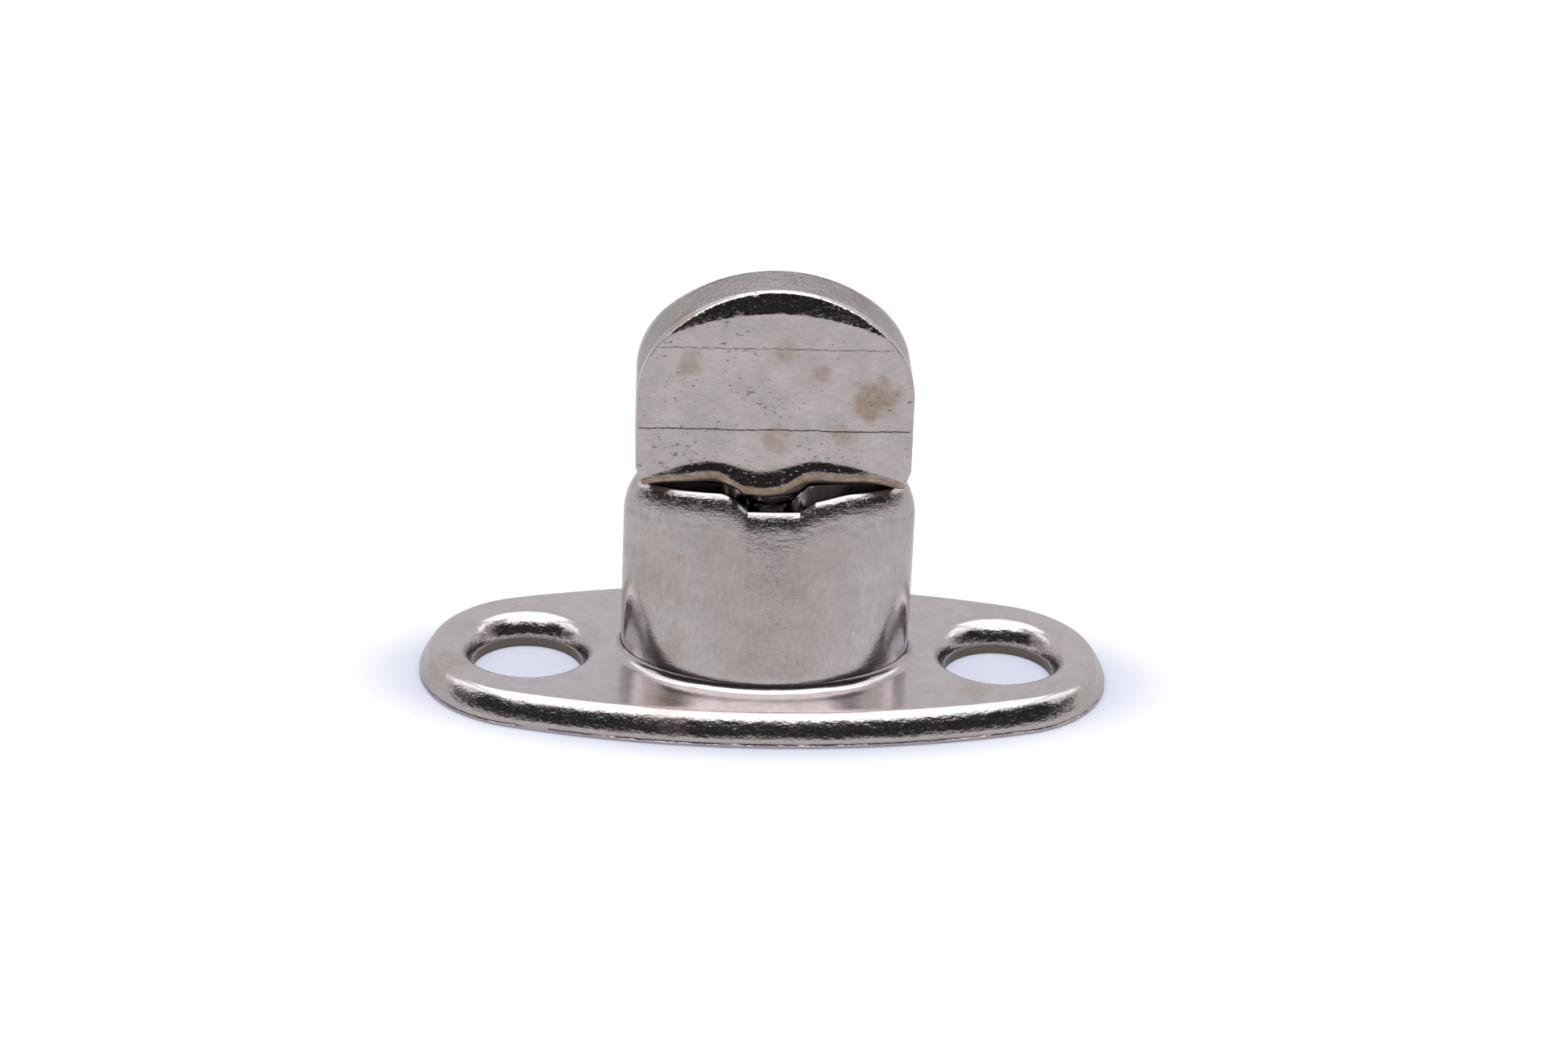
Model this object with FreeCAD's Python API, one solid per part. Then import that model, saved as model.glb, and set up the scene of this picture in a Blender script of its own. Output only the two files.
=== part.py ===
import FreeCAD, Part
import math
import os

# Double-height turn-button fastener: a half-round head on a drawn oval post, clinched
# into a pressed oval base plate with two screw holes. All lengths are millimetres.
# Origin: centre of the mounting face. +X along the base, +Z away from the mounting
# face, -Y towards the front.

# Base plate
base_length = 32.0
base_width = 14.2
end_radius = 5.6
plate_height = 1.5
sheet_thickness = 0.9
rim_radius = 1.1
hole_end_distance = 5.0
hole_diameter = 5.1
hole_lip_height = 0.5
collar_height = 0.5
collar_land = 0.12

# Post
post_height = 10.3
post_foot_length = 13.4
post_foot_width = 8.9
post_top_length = 13.16
post_top_width = 4.7
post_top_power = 3.0
post_wall = 0.7
shoulder_radius = 0.9
flange_width = 0.65
flange_lift = 0.08
groove_floor_width = 2.4
groove_mouth_width = 4.0
groove_depth = 0.86
groove_mouth_radius = 0.5
groove_floor_radius = 0.2

# Head
head_length = 12.5
head_height = 9.6
head_crown_radius = 7.0
head_corner_radius = 4.0
head_thickness_top = 3.26
head_thickness_middle = 3.34
head_thickness_lower = 3.7
head_thickness_base = 4.1
upper_crease_height = 7.0
lower_crease_height = 3.1
bevel_width = 0.95
bevel_depth = 0.4
bevel_radius = 11.4
foot_chamfer_length = 0.4
foot_chamfer_height = 1.2
scallop_height = 1.0
scallop_inner = 1.55
scallop_outer = 5.75
hub_root_diameter = 3.8
hub_drop = 0.4

# Spindle, washers and spring
spindle_diameter = 2.2
spindle_depth_in_head = 4.0
rivet_head_diameter = 3.2
rivet_head_height = 0.6
rivet_head_chamfer = 0.3
rivet_head_clearance = 0.5
washer_thickness = 0.5
retaining_washer_diameter = 5.2
spring_wire = 0.45
spring_turns = 5.5

# Fits
assembly_gap = 0.02
running_clearance = 0.06
head_gap = 0.1
hub_side_gap = 0.25
washer_side_gap = 0.12
coil_gap = 0.2

Vector = FreeCAD.Vector
UP = Vector(0, 0, 1)


def line(start, end):
    """Straight edge between two points."""
    return Part.LineSegment(start, end).toShape()


def arc(start, middle, end):
    """Circular edge through three points."""
    return Part.Arc(start, middle, end).toShape()


def rounded_loop(corners, radii):
    """Closed wire through the corners, each rounded with its own radius."""
    starts = []
    middles = []
    ends = []
    count = len(corners)
    for index in range(count):
        corner = corners[index]
        before = (corners[index - 1] - corner).normalize()
        after = (corners[(index + 1) % count] - corner).normalize()
        half_angle = before.getAngle(after) / 2
        setback = radii[index] / math.tan(half_angle)
        bisector = (before + after).normalize()
        depth = radii[index] / math.sin(half_angle) - radii[index]
        starts.append(corner + before * setback)
        middles.append(corner + bisector * depth)
        ends.append(corner + after * setback)
    edges = []
    for index in range(count):
        if radii[index] > 0:
            edges.append(arc(starts[index], middles[index], ends[index]))
        edges.append(line(ends[index], starts[(index + 1) % count]))
    return Part.Wire(edges)


def slab(wire, sweep):
    """Solid made by moving a closed flat wire along a vector."""
    return Part.Face(wire).extrude(sweep)


def turned(points, centre):
    """Solid of revolution about the vertical line through centre, from (radius, height) points."""
    corners = [centre + Vector(radius, 0, height) for radius, height in points]
    outline = Part.makePolygon(corners + corners[:1])
    return Part.Face(outline).revolve(centre, UP, 360)


def head_base():
    """Height of the head's feet."""
    return post_height + head_gap


def head_top():
    """Height of the head's crown."""
    return head_base() + head_height


def disc(diameter, bottom, top):
    """Round bar on the spindle's axis."""
    return Part.makeCylinder(diameter / 2, top - bottom, Vector(0, 0, bottom), UP)


# ---------------------------------------------------------------- base plate


def base_outline(inset, height):
    """Plate outline: two shallow arcs joined by tangent end circles, moved in by inset."""
    half_length = base_length / 2 - inset
    half_width = base_width / 2 - inset
    radius = end_radius - inset
    centre = half_length - radius
    side_radius = (centre ** 2 + half_width ** 2 - radius ** 2) / (2 * (half_width - radius))
    side_centre = side_radius - half_width
    reach = math.hypot(centre, side_centre)
    touch_x = centre + radius * centre / reach
    touch_y = radius * side_centre / reach
    edges = []
    for side in (1, -1):
        left = Vector(-side * touch_x, side * touch_y, height)
        crest = Vector(0, side * half_width, height)
        right = Vector(side * touch_x, side * touch_y, height)
        tip = Vector(side * half_length, 0, height)
        edges.append(arc(left, crest, right))
        edges.append(arc(right, tip, Vector(side * touch_x, -side * touch_y, height)))
    return Part.Wire(edges)


def pressed_plate():
    """Plate with its rolled rim, hollow underneath."""
    outer = slab(base_outline(0, 0), UP * plate_height)
    rim = [edge for edge in outer.Edges if edge.BoundBox.ZMin > plate_height - 0.01]
    outer = outer.makeFillet(rim_radius, rim)
    ceiling = plate_height - sheet_thickness
    inner = slab(base_outline(sheet_thickness, -1), UP * (ceiling + 1))
    inner_rim = [edge for edge in inner.Edges if edge.BoundBox.ZMin > ceiling - 0.01]
    inner = inner.makeFillet(rim_radius - sheet_thickness, inner_rim)
    return outer.cut(inner)


def screw_hole(side):
    """Ring of metal drawn down around a screw hole, and the dished opening through it."""
    centre = Vector(side * (base_length / 2 - hole_end_distance), 0, 0)
    radius = hole_diameter / 2
    ring = Part.makeCylinder(radius + sheet_thickness, plate_height - sheet_thickness / 2, centre, UP)
    dish = plate_height - hole_lip_height
    slope = dish * (1 - math.sqrt(0.5))
    corners = [
        (0, -1),
        (radius, -1),
        (radius, hole_lip_height),
        (radius + dish, plate_height),
        (radius + dish, plate_height + 1),
        (0, plate_height + 1),
    ]
    points = [centre + Vector(distance, 0, height) for distance, height in corners]
    bulge = centre + Vector(radius + slope, 0, plate_height - slope)
    edges = [line(points[index], points[index + 1]) for index in (0, 1)]
    edges.append(arc(points[2], bulge, points[3]))
    edges += [line(points[index], points[(index + 1) % 6]) for index in (3, 4, 5)]
    opening = Part.Face(Part.Wire(edges)).revolve(centre, UP, 360)
    return ring, opening


def base_plate():
    """Plate with both screw holes and the collar drawn up around the post's foot."""
    plate = pressed_plate()
    collar_top = plate_height + collar_height
    buried = sheet_thickness / 2
    neck = slab(post_section(collar_land, plate_height - buried), UP * (collar_height + buried))
    plate = plate.fuse(neck)
    roots = []
    for edge in plate.Edges:
        box = edge.BoundBox
        level = abs(box.ZMin - plate_height) < 0.01 and box.ZLength < 0.01
        if level and post_foot_length < box.XLength < base_length - 4 * rim_radius:
            roots.append(edge)
    plate = plate.makeFillet(collar_height - assembly_gap, roots)
    for side in (-1, 1):
        ring, opening = screw_hole(side)
        plate = plate.fuse(ring).cut(opening)
    window = slab(post_section(assembly_gap, -1), UP * (collar_top + 2))
    return plate.cut(window)


# ---------------------------------------------------------------- post


def post_half_width(height):
    """Half of the post's front-to-back size at a height: constant to the collar, then tapering."""
    foot = plate_height + collar_height
    rise = min(max((height - foot) / (post_height - foot), 0), 1)
    return (post_foot_width + (post_top_width - post_foot_width) * rise) / 2


def post_section(growth, height):
    """Closed curve round the post at a height, grown outwards by a distance.

    The foot is an ellipse. From the collar up the curve narrows and squares off, so that
    the top is a flat-sided oval that an eyelet of the head's size can pass.
    """
    foot = plate_height + collar_height
    rise = min(max((height - foot) / (post_height - foot), 0), 1)
    half_length = (post_foot_length + (post_top_length - post_foot_length) * rise) / 2 + growth
    half_width = post_half_width(height) + growth
    power = 2 + (post_top_power - 2) * rise
    steps = 48
    points = []
    for step in range(steps):
        angle = 2 * math.pi * step / steps
        cosine = math.cos(angle)
        sine = math.sin(angle)
        x = math.copysign(abs(cosine) ** (2 / power), cosine) * half_length
        y = math.copysign(abs(sine) ** (2 / power), sine) * half_width
        points.append(Vector(x, y, height))
    curve = Part.BSplineCurve()
    curve.interpolate(Points=points, PeriodicFlag=True)
    return Part.Wire([curve.toShape()])


def post_body(growth, bottom, top):
    """Solid post: straight through the plate, then tapering to its top."""
    foot = plate_height + collar_height
    straight = slab(post_section(growth, bottom), UP * (foot - bottom))
    sections = []
    bands = 4
    for band in range(bands + 1):
        sections.append(post_section(growth, foot + (top - foot) * band / bands))
    return straight.fuse(Part.makeLoft(sections, True, False))


def shoulder():
    """Rounded rim that closes the post's top, in narrow bands of a quarter circle."""
    start = post_height - shoulder_radius
    sections = []
    bands = 6
    for band in range(bands + 1):
        angle = math.pi / 2 * band / bands
        inset = shoulder_radius * (1 - math.cos(angle))
        sections.append(post_section(-inset, start + shoulder_radius * math.sin(angle)))
    return Part.makeLoft(sections, True, True)


def groove(drop):
    """Bar that cuts the groove across the top, lowered by drop."""
    floor = post_height - groove_depth - drop
    rim = post_height - drop
    overrun = 4.0
    reach = post_foot_length
    corners = [
        (-groove_floor_width / 2, floor, groove_floor_radius),
        (groove_floor_width / 2, floor, groove_floor_radius),
        (groove_mouth_width / 2, rim, groove_mouth_radius),
        (reach, rim, 0),
        (reach, rim + overrun, 0),
        (-reach, rim + overrun, 0),
        (-reach, rim, 0),
        (-groove_mouth_width / 2, rim, groove_mouth_radius),
    ]
    points = [Vector(x, -post_foot_width, z) for x, z, radius in corners]
    wire = rounded_loop(points, [radius for x, z, radius in corners])
    return slab(wire, Vector(0, 2 * post_foot_width, 0))


def flange():
    """Oval ring turned out under the plate, which clinches the post in place."""
    top = plate_height - sheet_thickness - assembly_gap
    return slab(post_section(flange_width, flange_lift), UP * (top - flange_lift))


def post_shell():
    """Drawn cup with a rounded shoulder, grooved closed top and clinched flange."""
    outer = post_body(0, flange_lift, post_height - shoulder_radius).fuse(shoulder())
    outer = outer.cut(groove(0)).fuse(flange())
    cavity = post_body(-post_wall, -1, post_height - post_wall)
    cavity = cavity.cut(groove(post_wall))
    bore = disc(spindle_diameter + 2 * running_clearance, 0, post_height + 1)
    return outer.cut(cavity).cut(bore)


# ---------------------------------------------------------------- head


def head_front():
    """Head seen from the front: straight sides, large crown arc, chamfered feet."""
    half = head_length / 2
    base = head_base()
    crown_centre = head_top() - head_crown_radius
    corner_x = half - head_corner_radius
    inner = head_crown_radius - head_corner_radius
    corner_z = crown_centre + math.sqrt(inner ** 2 - corner_x ** 2)
    tilt = math.atan2(corner_z - crown_centre, corner_x)
    depth = head_thickness_base

    def place(x, z):
        return Vector(x, -depth, z)

    touch_x = head_crown_radius * math.cos(tilt)
    touch_z = crown_centre + head_crown_radius * math.sin(tilt)
    bend_x = corner_x + head_corner_radius * math.cos(tilt / 2)
    bend_z = corner_z + head_corner_radius * math.sin(tilt / 2)
    foot = half - foot_chamfer_length
    side = base + foot_chamfer_height
    edges = [
        line(place(-foot, base), place(foot, base)),
        line(place(foot, base), place(half, side)),
        line(place(half, side), place(half, corner_z)),
        arc(place(half, corner_z), place(bend_x, bend_z), place(touch_x, touch_z)),
        arc(place(touch_x, touch_z), place(0, head_top()), place(-touch_x, touch_z)),
        arc(place(-touch_x, touch_z), place(-bend_x, bend_z), place(-half, corner_z)),
        line(place(-half, corner_z), place(-half, side)),
        line(place(-half, side), place(-foot, base)),
    ]
    return slab(Part.Wire(edges), Vector(0, 2 * depth, 0))


def head_side():
    """Head seen from the side: three flat facets on each face, thickest at the feet."""
    half_profile = [
        (head_thickness_top / 2, head_top() + 1),
        (head_thickness_middle / 2, head_base() + upper_crease_height),
        (head_thickness_lower / 2, head_base() + lower_crease_height),
        (head_thickness_base / 2, head_base() + foot_chamfer_height),
        (head_thickness_base / 2, 0),
    ]
    points = [Vector(-head_length, y, z) for y, z in half_profile]
    points += [Vector(-head_length, -y, z) for y, z in reversed(half_profile)]
    return slab(Part.makePolygon(points + points[:1]), Vector(2 * head_length, 0, 0))


def crown_bevel(face):
    """Bevel of one face, turned about a low centre: widest at the crown, nothing at the corners."""
    centre = head_top() - bevel_width - bevel_radius
    skin = face * head_thickness_top / 2
    overrun = 2.0
    slope = bevel_depth / bevel_width
    corners = [
        Vector(0, skin, centre + bevel_radius),
        Vector(0, skin - face * slope * overrun, centre + bevel_radius + overrun),
        Vector(0, skin + face * overrun, centre + bevel_radius + overrun),
        Vector(0, skin + face * overrun, centre + bevel_radius),
    ]
    wedge = Part.Face(Part.makePolygon(corners + corners[:1]))
    return wedge.revolve(Vector(0, 0, centre), Vector(0, 1, 0), 360)


def scallop(side):
    """Arched hollow under one half of the head, between hub and foot."""
    base = head_base()
    inner = Vector(side * scallop_inner, -head_length, base)
    outer = Vector(side * scallop_outer, -head_length, base)
    crest = Vector(side * (scallop_inner + scallop_outer) / 2, -head_length, base + scallop_height)
    wire = Part.Wire([arc(inner, crest, outer), line(outer, inner)])
    return slab(wire, Vector(0, 2 * head_length, 0))


def hub():
    """Round cone under the head that turns inside the groove."""
    root = head_base() + scallop_height
    end = post_height - hub_drop
    flare = (groove_mouth_width - groove_floor_width) / 2
    flank = groove_floor_width / 2 + flare * (groove_depth - hub_drop) / groove_depth
    tip = flank - hub_side_gap
    return Part.makeCone(tip, hub_root_diameter / 2, root - end, Vector(0, 0, end), UP)


def turn_head():
    """Half-round button with facets, bevelled crown, scalloped underside and hub."""
    head = head_front().common(head_side())
    for face in (-1, 1):
        head = head.cut(crown_bevel(face))
    for side in (-1, 1):
        head = head.cut(scallop(side))
    head = head.fuse(hub())
    socket_top = post_height + spindle_depth_in_head
    return head.cut(disc(spindle_diameter + 2 * assembly_gap, 0, socket_top + assembly_gap))


# ---------------------------------------------------------------- inner pieces


def washer_levels():
    """Bottom heights of the retaining washer and the upper washer."""
    lower = rivet_head_clearance + rivet_head_height + assembly_gap
    upper = post_height - groove_depth - post_wall - assembly_gap - washer_thickness
    return lower, upper


def washer(diameter, bottom):
    """Flat washer that the spindle turns in."""
    bore = disc(spindle_diameter + 2 * running_clearance, bottom - 1, bottom + washer_thickness + 1)
    return disc(diameter, bottom, bottom + washer_thickness).cut(bore)


def upper_washer():
    """Washer that bears on the groove's underside and just clears the tapering wall."""
    bottom = washer_levels()[1]
    reach = post_half_width(bottom + washer_thickness) - post_wall - washer_side_gap
    return washer(2 * reach, bottom)


def retaining_washer():
    """Washer that carries the spring and rests on the spindle's headed end."""
    return washer(retaining_washer_diameter, washer_levels()[0])


def spindle():
    """Pin fixed in the head, with its lower end headed over under the retaining washer."""
    stem = disc(spindle_diameter, rivet_head_clearance, post_height + spindle_depth_in_head)
    shoulder = rivet_head_clearance + rivet_head_height
    dome = turned(
        [
            (0, rivet_head_clearance),
            (rivet_head_diameter / 2 - rivet_head_chamfer, rivet_head_clearance),
            (rivet_head_diameter / 2, rivet_head_clearance + rivet_head_chamfer),
            (rivet_head_diameter / 2, shoulder),
            (0, shoulder),
        ],
        Vector(0, 0, 0),
    )
    return stem.fuse(dome)


def spring():
    """Coil spring between the two washers, round the spindle."""
    lower, upper = washer_levels()
    bottom = lower + washer_thickness + assembly_gap + spring_wire / 2
    top = upper - assembly_gap - spring_wire / 2
    height = top - bottom
    radius = spindle_diameter / 2 + coil_gap + spring_wire / 2
    path = Part.makeHelix(height / spring_turns, height, radius)
    section = Part.Wire([Part.makeCircle(spring_wire / 2, Vector(radius, 0, 0), Vector(0, 1, 0))])
    coil = Part.Wire(path.Edges).makePipeShell([section], True, True)
    coil.translate(Vector(0, 0, bottom))
    return coil


os.makedirs("parts", exist_ok=True)
pieces = {
    "base_plate": base_plate(),
    "post_shell": post_shell(),
    "turn_head": turn_head(),
    "spindle": spindle(),
    "upper_washer": upper_washer(),
    "retaining_washer": retaining_washer(),
    "spring": spring(),
}
for name, shape in pieces.items():
    print(name, shape.isValid(), len(shape.Solids), round(shape.Volume, 3), shape.BoundBox)
    shape.exportStep("parts/" + name + ".step")
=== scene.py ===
import math

import bmesh
import bpy
import numpy as np
from mathutils import Matrix, Vector, noise
from mathutils.geometry import delaunay_2d_cdt


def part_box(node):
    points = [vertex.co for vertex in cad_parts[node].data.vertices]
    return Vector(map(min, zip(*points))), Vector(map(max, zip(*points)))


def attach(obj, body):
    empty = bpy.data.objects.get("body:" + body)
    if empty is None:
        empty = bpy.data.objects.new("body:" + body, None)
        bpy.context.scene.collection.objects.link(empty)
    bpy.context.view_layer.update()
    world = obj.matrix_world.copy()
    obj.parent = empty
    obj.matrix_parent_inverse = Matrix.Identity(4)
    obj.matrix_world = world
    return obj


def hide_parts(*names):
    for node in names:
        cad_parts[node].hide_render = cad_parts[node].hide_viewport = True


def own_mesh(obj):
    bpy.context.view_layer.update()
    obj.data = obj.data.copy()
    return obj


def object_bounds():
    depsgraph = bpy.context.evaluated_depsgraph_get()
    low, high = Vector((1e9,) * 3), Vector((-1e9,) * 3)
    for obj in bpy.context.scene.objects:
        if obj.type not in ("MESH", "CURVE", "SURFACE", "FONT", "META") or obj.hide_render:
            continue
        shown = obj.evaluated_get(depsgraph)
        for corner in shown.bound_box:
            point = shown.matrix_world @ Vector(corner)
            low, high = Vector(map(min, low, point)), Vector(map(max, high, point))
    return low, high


bl_info = {
    "name": "Turn-button fastener",
    "version": (1, 0, 0),
    "blender": (4, 5, 0),
    "location": "3D View > Sidebar > Fastener",
    "description": "Builds a double-height turn-button fastener and its studio",
    "category": "Object",
}

MM = 0.001
MERGE_GAP = 0.0015 * MM
LEAST_EDGE = 0.0005 * MM
LEAST_DOUBLE_AREA = 1e-5 * MM * MM
SHEET_PRECISION = 1e-6

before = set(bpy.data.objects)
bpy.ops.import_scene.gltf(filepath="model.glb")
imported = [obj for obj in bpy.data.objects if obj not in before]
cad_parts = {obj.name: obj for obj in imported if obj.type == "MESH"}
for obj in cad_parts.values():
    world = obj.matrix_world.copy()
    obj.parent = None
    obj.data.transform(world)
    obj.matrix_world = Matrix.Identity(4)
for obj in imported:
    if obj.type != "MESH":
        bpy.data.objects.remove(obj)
cad_low, cad_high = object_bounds()
plate_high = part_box("base_plate")[1]
post_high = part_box("post_shell")[1]
head_low, head_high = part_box("turn_head")


# ---------------------------------------------------------------- sizes and colours


def length(name, description, default):
    """A length property whose default is given in millimetres."""
    return bpy.props.FloatProperty(
        name=name, description=description, default=default * MM, precision=5, unit="LENGTH"
    )


def angle(name, description, default):
    """An angle property whose default is given in degrees."""
    return bpy.props.FloatProperty(
        name=name, description=description, default=math.radians(default), subtype="ANGLE"
    )


def colour(name, description, default):
    """A linear colour."""
    return bpy.props.FloatVectorProperty(
        name=name, description=description, default=default, min=0, max=1, size=3, subtype="COLOR"
    )


class PlateSettings(bpy.types.PropertyGroup):
    """Sizes of the pressed base plate."""

    end_radius: length("End radius", "Radius of the plate's rounded ends", 5.6)
    sheet: length("Sheet", "Thickness of the pressed sheet", 0.9)
    brow_radius: length("Brow radius", "Large radius of the rolled rim above the sheared edge", 3.2)
    rim_radius: length("Rim radius", "Small radius of the rolled rim below the flat top", 0.6)
    height: length("Height", "Height of the plate's flat top", 1.5)
    hole_end: length("Hole to end", "Distance from a screw hole's centre to the plate's end", 5.0)
    hole_radius: length("Hole radius", "Radius of each screw hole", 2.55)
    dish_large: length("Dish large radius", "Radius of the bell mouth near the screw hole", 2.0)
    dish_small: length("Dish small radius", "Radius of the bell mouth near the flat top", 0.83)
    collar_height: length("Collar height", "Rise of the metal drawn up round the post", 0.5)
    collar_large: length("Collar large radius", "Radius of the drawn-up metal near the post", 0.9)
    collar_small: length("Collar small radius", "Radius of the drawn-up metal near the flat top", 0.4)
    burr_height: length("Burr height", "Height of the shear break on the plate's edge", 0.2)
    burr_depth: length("Burr depth", "Depth of the shear break on the plate's edge", 0.05)


class PostSettings(bpy.types.PropertyGroup):
    """Sizes of the drawn post."""

    foot_length: length("Foot length", "Length of the post at the plate", 13.4)
    foot_width: length("Foot width", "Front to back size of the post at the plate", 8.9)
    flat_length: length("Flat length", "Length of the flat top inside its rounded rim", 12.12)
    flat_width: length("Flat width", "Front to back size of the flat top", 3.8)
    brow_radius: length("Brow radius", "Large radius from the wall up to the rim", 3.1)
    rim_radius: length("Rim radius", "Small radius where the brow turns into the flat top", 0.13)
    wall: length("Wall", "Thickness of the drawn metal", 0.7)
    flange: length("Flange", "Width of the flange clinched under the plate", 0.65)
    flange_lift: length("Flange lift", "Gap between the flange and the mounting face", 0.08)
    groove_depth: length("Groove depth", "Depth of the groove across the top", 0.86)
    bore_radius: length("Bore radius", "Radius of the hole for the spindle", 1.16)


class HeadSettings(bpy.types.PropertyGroup):
    """Sizes of the half-round head."""

    crown_radius: length("Crown radius", "Radius of the crown", 7.0)
    corner_radius: length("Corner radius", "Radius of the shoulders beside the crown", 4.0)
    chamfer_length: length("Foot chamfer length", "How far the feet narrow", 0.4)
    chamfer_height: length("Foot chamfer height", "Height over which the feet narrow", 1.2)
    edge_radius: length("Edge radius", "Small rounding of the face edges", 0.09)
    bevel_radius: length("Bevel radius", "Radius of the crescent bevel's lower edge", 11.4)
    bevel_width: length("Bevel width", "Width of the crescent bevel at the crown", 0.95)
    bevel_depth: length("Bevel depth", "Depth of the crescent bevel at the crown", 0.4)
    tuck: length("Tuck", "How far each face turns inwards below its lip", 0.7)
    boss_radius: length("Boss radius", "Radius of the round boss that turns in the groove", 1.7)
    crease_depth: length("Crease depth", "Depth of the two casting lines on each face", 0.02)


class SpringSettings(bpy.types.PropertyGroup):
    """Sizes of the coil spring."""

    wire: length("Wire", "Diameter of the spring wire", 0.45)
    turns: bpy.props.FloatProperty(name="Turns", description="Number of turns", default=5.5, min=2, max=12)
    lift: length("Lift", "How far the spring is pressed together at full lift", 1.0)


class FinishSettings(bpy.types.PropertyGroup):
    """Colours of the plating, of the painted shade and of the painted reflection."""

    nickel: colour("Nickel", "Clean bright nickel", (0.565, 0.515, 0.515))
    casting: colour("Cast nickel", "Nickel over the cast head", (0.585, 0.525, 0.525))
    tarnish: colour("Tarnish", "Brown tarnish in the stains", (0.34, 0.225, 0.145))
    # Painted reflection: yellow-brown laid under the head's lips in place of the warm light reflected there
    # from the post's top.
    gold_reflection: colour("Gold reflection", "Yellow-brown painted reflection under the lips", (0.27, 0.185, 0.115))
    # Dark dirt in pits on every part; also used as painted shade under the head's lips and along the plate's
    # shear break.
    pit_dirt_and_shade: colour("Pits", "Dark dirt in pits and streaks, and painted shade", (0.045, 0.04, 0.04))
    # Painted shade: dark brown laid on the lower walls of the screw holes.
    shade: colour("Hole shade", "Dark brown painted shade inside the screw holes", (0.13, 0.10, 0.07))
    steel: colour("Spring steel", "Bare spring wire", (0.34, 0.33, 0.33))


class StageSettings(bpy.types.PropertyGroup):
    """Camera, floor and light."""

    elevation: angle("Elevation", "Camera height angle", 26.058)
    azimuth: angle("Azimuth", "Camera angle round the part", -3.302)
    roll: angle("Roll", "Camera tilt about its own axis", 2.449)
    distance: length("Distance", "Camera to target", 200.09)
    floor: colour("Floor", "Colour of the floor", (0.6, 0.6, 0.6))
    # Painted shadow: dim bluish glow that the floor has under and close round the part.
    shadow_glow: colour("Near glow", "Cool light of the floor close to the part", (0.22, 0.24, 0.37))


# ---------------------------------------------------------------- mesh building


def smoothstep(value, low, high):
    """Smooth rise from 0 at low to 1 at high."""
    part = np.clip((value - low) / (high - low), 0, 1)
    return part * part * (3 - 2 * part)


def quarter(distance, radius):
    """Drop of a quarter circle at a distance from where it starts."""
    distance = np.clip(distance, 0, radius)
    return radius - np.sqrt(radius * radius - distance * distance)


def within(points, loop):
    """Which flat points lie inside a closed loop."""
    x, y = points[:, 0], points[:, 1]
    inside = np.zeros(len(points), bool)
    for start, end in zip(loop, np.roll(loop, -1, axis=0)):
        if start[1] == end[1]:
            continue
        crosses = (start[1] > y) != (end[1] > y)
        meeting = start[0] + (y - start[1]) * (end[0] - start[0]) / (end[1] - start[1])
        inside ^= crosses & (x < meeting)
    return inside


def wobble(points, size, seed):
    """Smooth noise between -1 and 1 at each point, for a feature size in metres."""
    shift = Vector((seed * 7.3, seed * 3.1, seed * 5.7))
    return np.array([noise.noise(Vector(point) / size + shift) for point in points])


def dent(points, size, seed):
    """The same noise between 0 and 1."""
    return 0.5 + 0.5 * wobble(points, size, seed)


def full_turn(count):
    """Angles of equally spaced points round a circle."""
    return np.arange(count) * 2 * math.pi / count


def closed(ring):
    """Ring that ends on its first point again."""
    return np.vstack([ring, ring[:1]])


def unit(vectors):
    """Vectors brought to length 1."""
    return vectors / np.linalg.norm(vectors, axis=1)[:, None]


def clearance(points, line):
    """Distance from each flat point to the nearest point of a line."""
    apart = points[:, None] - line[None]
    return np.min(np.hypot(apart[..., 0], apart[..., 1]), axis=1)


def lattice(rows, columns, pitch, squeeze=1.0, base=0.0):
    """Staggered grid of flat points, from its row and column numbers."""
    return np.array([
        (column * pitch + (row % 2) * pitch / 2, base + row * pitch * squeeze)
        for row in rows
        for column in columns
    ])


def new_object(name, data):
    """Object linked to the scene."""
    made = bpy.data.objects.new(name, data)
    bpy.context.scene.collection.objects.link(made)
    return made


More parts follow.
